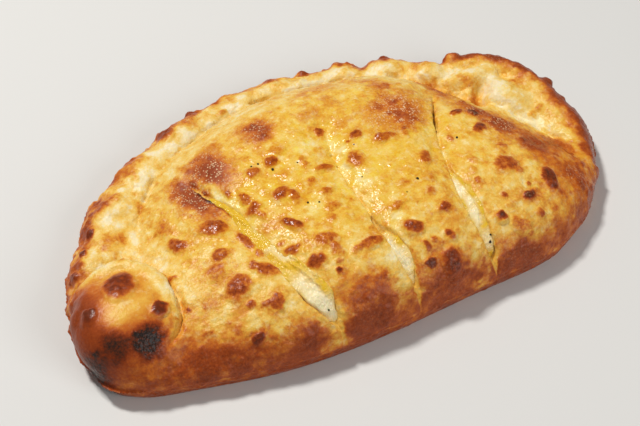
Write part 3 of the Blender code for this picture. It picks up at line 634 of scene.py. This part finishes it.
def noise(p, size, seed):
    """Smooth uneven values between -1 and 1 whose lumps are about as far apart as the size."""
    cells = 31
    table = np.random.default_rng(seed).uniform(-1, 1, (cells, cells, cells))
    place = p / size + 0.37 * seed
    low = np.floor(place).astype(int)
    t = place - low
    t = t * t * (3 - 2 * t)
    value = np.zeros(len(p))
    for corner in product((0, 1), repeat=3):
        i, j, k = ((low + corner) % cells).T
        value += table[i, j, k] * np.prod(np.where(corner, t, 1 - t), axis=1)
    return value


def pimples(p, spacing, seed, share):
    """Small round bumps, in the given share of the cells of a grid: height from 0 to 1."""
    cells = 31
    table = np.random.default_rng(seed).uniform(0, 1, (cells, cells, cells, 5))
    place = p / spacing
    home = np.floor(place).astype(int)
    height = np.zeros(len(p))
    for step in product((-1, 0, 1), repeat=3):
        at = home + step
        draw = table[tuple((at % cells).T)]
        away = np.linalg.norm(place - at - draw[:, :3], axis=1)
        radius = 0.28 + 0.34 * draw[:, 3]
        bump = np.clip(1 - (away / radius)**2, 0, None) * (draw[:, 4] < share) * radius / 0.62
        height = np.maximum(height, bump)
    return height


def lumps(p, size, seed):
    """Three sizes of noise added up."""
    fine = 0.25 * noise(p, size / 4.3, seed + 2)
    return noise(p, size, seed) + 0.5 * noise(p, size / 2.1, seed + 1) + fine


def wandered(p, *layers):
    """Plan places moved by noise, so that edges come out uneven: amount, size, seeds for x and y."""
    x, y = p[:, 0], p[:, 1]
    for amount, size, seed_x, seed_y in layers:
        x = x + amount * noise(p, size, seed_x)
        y = y + amount * noise(p, size, seed_y)
    return x, y


def oval(x, y, row):
    """How far out a place lies in an oval in plan: 0 in its middle and 1 at its edge."""
    cx, cy, half_a, half_b, heading = row[:5]
    c, s = cos(radians(heading)), sin(radians(heading))
    return np.hypot(((x - cx) * c + (y - cy) * s) / half_a, (-(x - cx) * s + (y - cy) * c) / half_b)


def spots(x, y, rows, power):
    """Sum of the ovals' amounts, each fading out round its edge."""
    return sum(row[5] * np.exp(-oval(x, y, row)**power) for row in rows)


def step_up(value, low, high):
    """0 below low and 1 above high, smooth between."""
    t = np.clip((value - low) / (high - low), 0, 1)
    return t * t * (3 - 2 * t)


def stretch(along, start, end):
    """1 over the middle of a path and 0 at its ends; each rise lies between two ways in from its end."""
    return step_up(along, *start) * step_up(1 - along, *end)


def band(value, middle, width):
    """1 where a value is at the middle, fading out to either side."""
    return np.exp(-((value - middle) / width)**2)


def between(a, b, share):
    """The first where the share is 0 and the second where it is 1."""
    return a * (1 - share) + b * share


def heights(field):
    """Map of the top of the dough over the plan."""
    zs = GRID[2]
    top = np.zeros(field.shape[:2])
    for k in range(len(zs) - 1):
        a, b = field[:, :, k], field[:, :, k + 1]
        crossed = (a <= 0) & (b > 0)
        top[crossed] = zs[k] + (zs[k + 1] - zs[k]) * (-a[crossed]) / (b[crossed] - a[crossed])
    return top


def read_map(values, x, y):
    """A map's value at each place."""
    xs, ys, _ = GRID
    i = np.clip((x - xs[0]) / (xs[1] - xs[0]), 0, len(xs) - 1.001)
    j = np.clip((y - ys[0]) / (ys[1] - ys[0]), 0, len(ys) - 1.001)
    low_i, low_j = i.astype(int), j.astype(int)
    u, v = i - low_i, j - low_j
    return (values[low_i, low_j] * (1 - u) * (1 - v) + values[low_i + 1, low_j] * u * (1 - v)
            + values[low_i, low_j + 1] * (1 - u) * v + values[low_i + 1, low_j + 1] * u * v)


def mesh_object(name, points, faces):
    """Object of a mesh given in millimetres, smooth shaded."""
    mesh = bpy.data.meshes.new(name)
    mesh.from_pydata(((points - MIDDLE) * MM).tolist(), [], faces.tolist())
    mesh.update()
    mesh.shade_smooth()
    piece = bpy.data.objects.new(name, mesh)
    bpy.context.collection.objects.link(piece)
    return piece


def points_of(mesh):
    """Places of a mesh's points in millimetres, and the directions that they face."""
    places, facing = np.empty((2, len(mesh.vertices) * 3), np.float32)
    mesh.vertices.foreach_get("co", places)
    mesh.vertices.foreach_get("normal", facing)
    return places.reshape(-1, 3).astype(float) / MM + MIDDLE, facing.reshape(-1, 3).astype(float)


def raise_skin(mesh, p, facing, rise):
    """Moves a mesh's points outwards from their places by a rise in millimetres."""
    moved = (p + facing * rise[:, None] - MIDDLE) * MM
    mesh.vertices.foreach_set("co", moved.astype(np.float32).ravel())
    mesh.update()


def thinned(piece, triangles_left):
    """Replaces a piece's mesh with one of about that many triangles, coarsest where it is flat."""
    triangles = sum(len(face.vertices) - 2 for face in piece.data.polygons)
    thin = piece.modifiers.new("thin", 'DECIMATE')
    thin.ratio = min(1.0, triangles_left / triangles)
    mesh = bpy.data.meshes.new_from_object(piece.evaluated_get(bpy.context.evaluated_depsgraph_get()))
    piece.modifiers.clear()
    piece.data = mesh
    mesh.shade_smooth()


def set_values(mesh, name, values):
    """Stores one number for each point under a name that the material reads."""
    layer = mesh.attributes.new(name, 'FLOAT', 'POINT')
    layer.data.foreach_set("value", values.astype(np.float32))


def knob_share(p):
    """1 on the folded knob and 0 away from it."""
    return np.exp(-oval(p[:, 0], p[:, 1], KNOB_PLAN)**10)


def near_top(p, facing, top_z):
    """1 on the upper skin, and 0 on the low sides and deep in the slashes."""
    return step_up(p[:, 2], top_z - 9, top_z - 5) * step_up(facing[:, 2], -0.3, 0.1)


def bubble_lift(p, top):
    """How far the skin rises into bubbles at each place, and how brown they are."""
    x, y = wandered(p, (0.8, 2.6, 11, 12))
    crinkle = 1 + 0.25 * noise(p, 1.7, 13)
    lift = np.zeros(len(p))
    brown = np.zeros(len(p))
    for row in BUBBLES:
        near = np.flatnonzero(np.maximum(np.abs(x - row[0]), np.abs(y - row[1])) < BUBBLE_REACH)
        out = oval(x[near], y[near], row) / BUBBLE_WIDER
        domed = np.clip(1 - (out / 1.28)**2, 0, None)**0.8
        lift[near] = np.maximum(lift[near], BUBBLE_HIGHER * row[5] * domed * crinkle[near])
        baked = row[6] * (np.exp(-(out / 1.1)**7) + 0.18 * np.exp(-(out / 1.7)**2))
        brown[near] = np.maximum(brown[near], baked)
    return lift * top, brown * top


def grain_amount(p):
    """How rough the baked skin is at each place."""
    x, y = wandered(p, (2.2, 6, 21, 22))
    return np.maximum.reduce([row[6] * np.exp(-oval(x, y, row)**3) for row in GRAINY_TONES])


def relief(p, top):
    """How far the dough's skin rises: bubbles, grain, and the rim's puffs and ragged edge."""
    x, y, z = p.T
    lift, _ = bubble_lift(p, top)
    depth = depth_inside(x, y, OUTLINE_CURVE)
    back = step_up(y + 0.3 * np.abs(x), 0, 30)
    back *= 1 - 0.7 * step_up(x, 70, 90)
    ragged = (1 - step_up(depth, 3, 10)) * back * (0.9 * noise(p, 4.8, 35) + 0.4 * noise(p, 2.1, 36) - 0.3)
    puffed = 0.9 * back * (1 - step_up(depth, 26, 34)) * noise(p, 6.5, 33)
    plain = 1 - 0.85 * knob_share(p)
    rough = 0.5 * noise(p, 9, 31) + puffed + plain * (0.34 * noise(p, 4, 32) + 0.15 * noise(p, 2.1, 34))
    grit = (0.2 + 0.25 * grain_amount(p)) * pimples(p, 1.9, 38, 0.7)
    bumps = plain * (0.42 * pimples(p, 3.3, 37, 0.6) + grit + 0.4 * pimples(p, 4.6, 39, 0.4))
    return (lift + rough + bumps + ragged - 0.2) * step_up(z, 0.3, 3)


def make_crust(material):
    """The dough: the field's skin, raised into bubbles and grain, with its browning stored on it."""
    x, y, z = spread_out(*GRID)
    field, dome = whole_dough(x, y, z)
    crown = heights(field)
    for path in SLASH_CURVES:
        field = slashed(field, x, y, z, path)
    crust = mesh_object("dough", *skin_of(np.maximum(field, -z)))
    p, facing = points_of(crust.data)
    top = near_top(p, facing, read_map(crown, p[:, 0], p[:, 1]))
    raise_skin(crust.data, p, facing, relief(p, top))
    thinned(crust, CRUST_TRIANGLES)
    paint_crust(crust.data, crown)
    crust.data.materials.append(material)
    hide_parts("crust")
    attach(crust, "root")
    return crust, dome


def patch_browning(p, top):
    """Change in browning over the named areas, some of it painted shade, their edges made uneven."""
    x, y = wandered(p, (2.2, 6.5, 41, 43), (1, 2.4, 42, 44))
    return spots(x, y, TONES + GRAINY_TONES, 2.6) * top


def rim_browning(p, depth):
    """Pale on the rim's inner side, orange to brown blotches along its outer edge."""
    blotch = lumps(p, 11, 45)
    edge = np.exp(-(np.clip(depth + 1.6 * blotch, 0, None) / (8.5 + 3 * blotch))**2)
    uneven = 1 - 0.7 * step_up(p[:, 0], 70, 90)
    bake = 0.18 + 0.45 * edge + 0.1 * blotch + 0.2 * uneven * lumps(p, 5.5, 55)
    bake += 0.2 * step_up(noise(p, 5, 46), 0.2, 0.6) * edge
    for cx, cy, _, size in RIM_NUBS:
        bake += 0.2 * np.exp(-oval(p[:, 0], p[:, 1], (cx, cy, size, size, 0))**3)
    return bake


def wall_browning(p):
    """Uneven brown of the side, darker towards the board as painted shade."""
    # the side's low part is painted darker here, as shade near the board
    foot = 1 - step_up(p[:, 2], 2, 13)
    return 0.62 + 0.09 * lumps(p, 8, 47) + 0.08 * lumps(p, 3.4, 59) + 0.22 * foot


def knob_browning(p):
    """Browning of the folded knob, darkest at its low left and front sides, with a painted highlight on
    its top and some painted shade low on its front.
    """
    x, y = wandered(p, (1.5, 4, 72, 73))
    return 0.45 + 0.06 * lumps(p, 7, 71) + spots(x, y, KNOB_TONES, 3)


def char_browning(p):
    """Burnt places of the knob, their edges ragged."""
    x, y = wandered(p, (1.6, 3, 74, 76), (0.8, 1.4, 75, 77))
    return np.maximum.reduce([row[5] * np.exp(-oval(x, y, row)**3.5) for row in CHARS])


def slash_tones(p, top_z, bake):
    """Pale cut dough inside the slashes, with painted shade deep in the right slash's hole and along the
    left slash's browned edge.
    """
    x, y, z = p.T
    cut = np.zeros(len(p))
    brown_and_shade_lip = np.zeros(len(p))
    for path in SLASH_CURVES:
        distance, side, along = beside(x, y, path)
        left, right = measures_along(path, along, (2, 3))
        half = np.where(side > 0, left, right)
        inside = step_up(top_z - z, 0.5, 1.8) * (distance < half + 3) * step_up(z, 6, 12)
        cut = np.maximum(cut, inside * step_up(y, -90, -80))
        # the left slash's left edge is browned, and also painted dark as crevice shade
        lip = band(distance - half, 0.4, 1.1) * (side > 0)
        brown_and_shade_lip = np.maximum(brown_and_shade_lip, lip * np.exp(-oval(x, y, BROWN_SHADED_LIP)**4))
    # painted shade deep in the hole of the right slash
    deep = step_up(top_z - z, 4, 8) * np.exp(-oval(x, y, HOLE_SHADE_PLACE)**4)
    return between(bake, 0.2 + 0.14 * step_up(-y, 71, 79) + 0.5 * deep, cut) + 0.32 * brown_and_shade_lip


def plain_browning(p, crease):
    """Browning of the rim, the dome and the side, before their patches and bubbles, and a darker line
    along the crease.
    """
    x, y, z = p.T
    depth = depth_inside(x, y, OUTLINE_CURVE)
    in_dome = step_up(depth_inside(x, y, DOME_CURVE) + 1.2 * noise(p, 5, 48), -2, 4)
    front = step_up(crease, 22, 40)
    wall = front * (1 - step_up(depth + 1.5 * noise(p, 6, 49), 0.5, 8 + 5 * step_up(-x, 50, 90)))
    low = (1 - front) * (1 - step_up(z, 4, 9))
    bake = between(rim_browning(p, depth), PLAIN_BROWNING, in_dome)
    bake = between(bake, wall_browning(p), wall)
    bake = between(bake, 0.6 + 0.08 * lumps(p, 8, 50), low)
    # darker along the crease, in uneven stretches
    return bake + 0.12 * band(crease, -0.5 * noise(p, 2.5, 56), 1.1) * step_up(noise(p, 7, 57), -0.5, 0.3)


def mottling(p):
    """Small brown and pale marks over the whole skin, the brown ones weaker."""
    uneven = 0.22 * lumps(p, 4.2, 51) + 0.06 * noise(p, 1.8, 52)
    uneven = np.where(uneven > 0, 0.6 * uneven, uneven)
    return uneven + 0.1 * pimples(p, 3.3, 37, 0.6) + 0.07 * lumps(p, 15, 54)


def paint_crust(mesh, crown):
    """Works out browning, butter, grain and speckle for each point of the dough."""
    p, facing = points_of(mesh)
    x, y, z = p.T
    top_z = read_map(crown, x, y)
    top = near_top(p, facing, top_z)
    knob = knob_share(p)
    bake = plain_browning(p, beside(x, y, CREASE_CURVE)[0])
    bake = between(bake, knob_browning(p), knob) + patch_browning(p, top)
    butter = np.exp(-oval(x, y, SHEEN_MIDDLE)**4)
    calm = (1 - 0.75 * knob) * (1 - 0.5 * step_up(bake, 0.4, 0.56))
    bake += mottling(p) * calm * (1 - 0.3 * butter)
    browned = step_up(bake, 0.48, 0.6) * (1 - knob)
    bake += (0.2 * (pimples(p, 4.6, 39, 0.4) - 0.12) + 0.07 * lumps(p, 3.2, 62)) * browned
    eased = DEEP_BROWN + 0.14 * (1 - np.exp((DEEP_BROWN - bake) / 0.14))
    bake = np.where(bake > DEEP_BROWN, eased, bake)
    # a paler strip along the knob's lip, partly its own pale dough and partly a painted highlight
    lip, _, along = beside(x, y, LIP_CURVE)
    bake -= 0.14 * band(lip, 2.2, 1.5) * stretch(along, (0.35, 0.5), (0, 0.15))
    burnt = knob * char_browning(p)
    bake += burnt
    _, brown = bubble_lift(p, top)
    bubbled = bake * (1 - 0.5 * step_up(brown, 0, 0.3)) + brown * (1.04 + 0.2 * noise(p, 1.6, 53))
    bake = np.where(brown > 0.02, np.maximum(np.minimum(bubbled, 0.6 + 0.45 * brown), bake), bake)
    bake = slash_tones(p, top_z, bake)
    grain = grain_amount(p)
    butter = np.maximum(butter, 0.65 * np.exp(-oval(x, y, SHEEN_END)**4))
    butter *= (0.7 + 0.3 * lumps(p, 7, 61)) * (1 - 0.8 * grain)
    at_end = step_up(x, 80, 95) * step_up(z, 4, 10)
    set_values(mesh, "bake", np.clip(bake, 0, 1))
    set_values(mesh, "butter", np.clip(butter * np.maximum(top, at_end), 0, 1))
    set_values(mesh, "grain", grain)
    set_values(mesh, "speckle", 0.12 + 0.32 * calm + 0.9 * burnt)


def make_filling(dome, material):
    """The soft cheese, with the lumps and gloss that show in the slashes."""
    filling = mesh_object("cheese", *skin_of(filling_skin(*spread_out(*GRID), dome)))
    p, facing = points_of(filling.data)
    lift = 0.35 * noise(p, 5, 81) + 0.3 * noise(p, 2.4, 82)
    for rows in STRANDS:
        strand, _, along = beside(p[:, 0], p[:, 1], spline(rows))
        lift += 1.1 * band(strand, 0, 0.65) * stretch(along, (0, 0.15), (0, 0.15))
    raise_skin(filling.data, p, facing, lift)
    thinned(filling, FILLING_TRIANGLES)
    p, _ = points_of(filling.data)
    cream = 0.1 + 0.4 * lumps(p, 3.4, 83) - 0.25 * step_up(p[:, 1], -40, -25)
    cream += 0.4 * step_up(-p[:, 1], 67, 74) + spots(*wandered(p, (1, 3, 84, 85)), CREAM, 4)
    set_values(filling.data, "cream", np.clip(cream, 0, 1))
    filling.data.materials.append(material)
    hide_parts("filling")
    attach(filling, "root")
    return filling


class Look:
    """New material, with short ways to build up its nodes."""

    def __init__(self, name, colour, roughness, specular=0.5):
        self.material = bpy.data.materials.new(name)
        self.material.use_nodes = True
        self.tree = self.material.node_tree
        self.surface = self.tree.nodes["Principled BSDF"].inputs
        self.surface["Base Color"].default_value = (*colour, 1)
        self.surface["Roughness"].default_value = roughness
        self.surface["Specular IOR Level"].default_value = specular

    def add(self, kind, **settings):
        """Adds a node and sets its options."""
        node = self.tree.nodes.new("ShaderNode" + kind)
        for name, value in settings.items():
            setattr(node, name, value)
        return node

    def feed(self, socket, value):
        """Sets an input to a constant, or links an output to it."""
        if isinstance(value, bpy.types.NodeSocket):
            self.tree.links.new(value, socket)
        else:
            socket.default_value = value

    def feed_all(self, node, **values):
        """Feeds the inputs of a node by their names."""
        for name, value in values.items():
            self.feed(node.inputs[name], value)

    def stored(self, name):
        """The numbers stored on a mesh under that name."""
        return self.add("Attribute", attribute_name=name).outputs["Fac"]

    def pattern(self, kind, spacing, **values):
        """Outputs of a pattern fixed to the piece, its spacing in millimetres."""
        node = self.add(kind)
        place = self.add("TexCoord").outputs["Object"]
        self.feed_all(node, Vector=place, Scale=1 / (spacing * MM), **values)
        return node.outputs

    def lumpy(self, spacing, detail, rough=0.5):
        """Noise from 0 to 1."""
        return self.pattern("TexNoise", spacing, Detail=detail, Roughness=rough)["Fac"]

    def maths(self, operation, *values, clamped=False):
        """One step of arithmetic on constants and outputs, clamped to 0 to 1 where that is asked for."""
        node = self.add("Math", operation=operation, use_clamp=clamped)
        for socket, value in zip(node.inputs, values):
            self.feed(socket, value)
        return node.outputs[0]

    def times(self, a, b, clamped=False):
        """One value multiplied by another."""
        return self.maths('MULTIPLY', a, b, clamped=clamped)

    def scaled(self, value, factor, plus, clamped=False):
        """A value multiplied, with another added to it."""
        return self.maths('MULTIPLY_ADD', value, factor, plus, clamped=clamped)

    def tinted(self, under, over, share, how='MIX'):
        """A colour laid over another by a share from 0 to 1."""
        node = self.add("Mix", data_type='RGBA', blend_type=how)
        self.feed_all(node, Factor=share, A=under, B=over)
        return node.outputs["Result"]

    def bumped(self, height, distance):
        """Makes the surface look uneven by a height up to the distance in millimetres."""
        node = self.add("Bump")
        self.feed_all(node, Height=height, Distance=distance * MM, Strength=0.9)
        self.feed(self.surface["Normal"], node.outputs["Normal"])

    def softened(self, weight, radius, reach):
        """Lets light sink into the surface, the reach in millimetres."""
        self.surface["Subsurface Weight"].default_value = weight
        self.surface["Subsurface Radius"].default_value = radius
        self.surface["Subsurface Scale"].default_value = reach * MM


def crust_material():
    """Baked skin: browning looked up in a run of colours, with fine speckle, butter gloss, grain and
    painted glint specks.
    """
    look = Look("baked_skin", (0.6, 0.3, 0.1), 0.45, 0.18)
    bake, butter, grain, speckle = map(look.stored, ("bake", "butter", "grain", "speckle"))

    # pale specks of many sizes, in patches on the grainy areas: painted glints, also raised a little by
    # the bump
    cells = look.pattern("TexVoronoi", GLINT_SPECK_SPACING)
    draw = look.add("SeparateColor")
    look.feed(draw.inputs["Color"], cells["Color"])
    reach = look.scaled(draw.outputs["Red"], 0.42, 0.14)
    reach = look.times(reach, look.scaled(look.lumpy(4.5, 2), 3, -0.55, clamped=True))
    glint_speck = look.times(look.maths('LESS_THAN', cells["Distance"], reach), grain)

    # colour of the browning
    ramp = look.add("ValToRGB")
    stops = ramp.color_ramp.elements
    for position, _ in CRUST_COLOURS[1:-1]:
        stops.new(position)
    for stop, (position, colour) in zip(stops, CRUST_COLOURS):
        stop.position = position
        stop.color = (*colour, 1)
    uneven = look.maths('SUBTRACT', look.lumpy(1.3, 3, 0.68), 0.5)
    look.feed(ramp.inputs["Fac"], look.scaled(uneven, speckle, bake))

    # butter pooled on it, pale flecks where it is less baked, and the specks painted as glints
    pooled = look.times(butter, look.scaled(look.lumpy(4, 2), 2.8, -0.65), clamped=True)
    colour = look.tinted(ramp.outputs["Color"], (1.0, 1.0, 0.44, 1), pooled, 'MULTIPLY')
    fleck = look.scaled(look.lumpy(3.4, 3, 0.62), 7, -3.75, clamped=True)
    fleck = look.times(fleck, look.scaled(bake, -1.4, 0.95, clamped=True))
    colour = look.tinted(colour, (0.93, 0.76, 0.37, 1), fleck)
    # the specks' pale colour is a painted glint
    pale = look.times(glint_speck, look.scaled(draw.outputs["Green"], 0.5, 0.36))
    look.feed(look.surface["Base Color"], look.tinted(colour, (0.95, 0.66, 0.38, 1), pale))

    # gloss and grit
    crisp = look.scaled(bake, 4, -2.2, clamped=True)
    rough = look.scaled(crisp, -0.08, look.scaled(grain, 0.3, 0.38))
    look.feed(look.surface["Roughness"], look.scaled(butter, -0.26, rough))
    grit = look.times(look.lumpy(1.7, 1.5), look.scaled(butter, -0.45, 1))
    grit = look.times(grit, look.times(speckle, 2.3, clamped=True))
    look.bumped(look.scaled(glint_speck, 0.8, grit), 0.6)
    look.softened(0.08, (1.0, 0.5, 0.2), 2)
    return look.material


def filling_material():
    """Melted cheese: cream where it is thick, clear yellow butter elsewhere."""
    look = Look("melted_cheese", (0.84, 0.64, 0.32), 0.15, 0.33)
    colour = look.tinted((0.80, 0.49, 0.03, 1), (1.0, 0.83, 0.5, 1), look.stored("cream"))
    look.feed(look.surface["Base Color"], colour)
    look.bumped(look.lumpy(1.9, 3), 1.2)
    look.softened(0.3, (1.0, 0.7, 0.35), 3)
    return look.material


def chip(size, seed):
    """Small flat irregular flake, as points and triangles."""
    random = np.random.default_rng(seed)
    ring = np.arange(6) / 6 * 2 * np.pi
    around = np.column_stack([np.cos(ring), np.sin(ring)]) * random.uniform(0.7, 1.3, (6, 1)) * size / 2
    low = np.column_stack([around, np.full(6, -0.15 * size)])
    high = np.column_stack([around * 0.75, np.full(6, 0.3 * size)])
    points = np.vstack([low, high, [(0, 0, -0.2 * size), (0, 0, 0.36 * size)]])
    faces = []
    for k in range(6):
        n = (k + 1) % 6
        faces += [(k, n, 6 + n), (k, 6 + n, 6 + k), (12, n, k), (13, 6 + k, 6 + n)]
    return points, np.array(faces)


def ground_of(*pieces):
    """The skins of some pieces as one, to find the spot below a place."""
    points, faces = [], []
    for piece in pieces:
        faces += [[k + len(points) for k in face.vertices] for face in piece.data.polygons]
        points += [point.co for point in piece.data.vertices]
    return BVHTree.FromPolygons(points, faces)


def make_pepper(ground):
    """One piece of all the flakes, each lying on the dough or the cheese."""
    points, faces, count = [], [], 0
    for seed, (x, y, size) in enumerate(PEPPER):
        above = Vector(((x - MIDDLE[0]) * MM, (y - MIDDLE[1]) * MM, 0.08))
        spot, facing, _, _ = ground.ray_cast(above, Vector((0, 0, -1)))
        turn = np.array(facing.to_track_quat('Z', 'Y').to_matrix())
        local, triangles = chip(FLAKE_WIDER * size, 500 + seed)
        points.append(local @ turn.T + np.array(spot) / MM + MIDDLE + np.array(facing) * size * 0.1)
        faces.append(triangles + count)
        count += len(local)
    pepper = mesh_object("pepper", np.vstack(points), np.vstack(faces))
    pepper.data.materials.append(Look("pepper", (0.035, 0.022, 0.012), 0.7, 0.2).material)
    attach(pepper, "root")


def from_view(x, y, z):
    """Place in metres of a point so many millimetres right of, behind and above the view's middle."""
    c, s = cos(radians(FOOD_TURN)), sin(radians(FOOD_TURN))
    x, y = x - FOOD_PLACE[0], y - FOOD_PLACE[1]
    return Vector((x * c + y * s, -x * s + y * c, z)) * MM - Vector(MIDDLE) * MM


def aimed(item, place, target):
    """Puts a camera or light at a place, facing a target."""
    item.location = place
    item.rotation_euler = (target - place).to_track_quat('-Z', 'Y').to_euler()
    bpy.context.collection.objects.link(item)


def make_camera():
    """The view of the photograph."""
    camera = bpy.data.cameras.new("camera")
    camera.lens = CAMERA_LENS
    camera.sensor_width = 36
    item = bpy.data.objects.new("camera", camera)
    e = radians(CAMERA_ELEVATION)
    aimed(item, from_view(0, -cos(e) * CAMERA_DISTANCE, sin(e) * CAMERA_DISTANCE), from_view(0, 0, 0))
    bpy.context.scene.camera = item


def make_light(name, place, size, power, colour):
    """One square lamp that faces the middle of the view."""
    light = bpy.data.lights.new(name, 'AREA')
    light.size = size
    light.energy = power
    light.color = colour
    aimed(bpy.data.objects.new(name, light), from_view(*place), from_view(0, 0, 0))


def make_floor():
    """Plain board under the food."""
    mesh = bpy.data.meshes.new("floor")
    corners = [(x * FLOOR_HALF, y * FLOOR_HALF, 0) for x, y in ((-1, -1), (1, -1), (1, 1), (-1, 1))]
    mesh.from_pydata(corners, [], [(0, 1, 2, 3)])
    floor = bpy.data.objects.new("floor", mesh)
    mesh.materials.append(Look("floor", (0.72, 0.71, 0.69), 0.7).material)
    bpy.context.collection.objects.link(floor)


def make_world():
    """Even white light from all round."""
    world = bpy.data.worlds.new("studio")
    bpy.context.scene.world = world
    world.use_nodes = True
    background = world.node_tree.nodes["Background"].inputs
    background["Color"].default_value = (1, 1, 1, 1)
    background["Strength"].default_value = ROOM_LIGHT


make_camera()
make_world()
make_floor()
make_light("key", *KEY_LIGHT)
make_light("fill", *FILL_LIGHT)
bpy.context.scene.view_settings.view_transform = 'Standard'

crust, dome = make_crust(crust_material())
filling = make_filling(dome, filling_material())
make_pepper(ground_of(crust, filling))
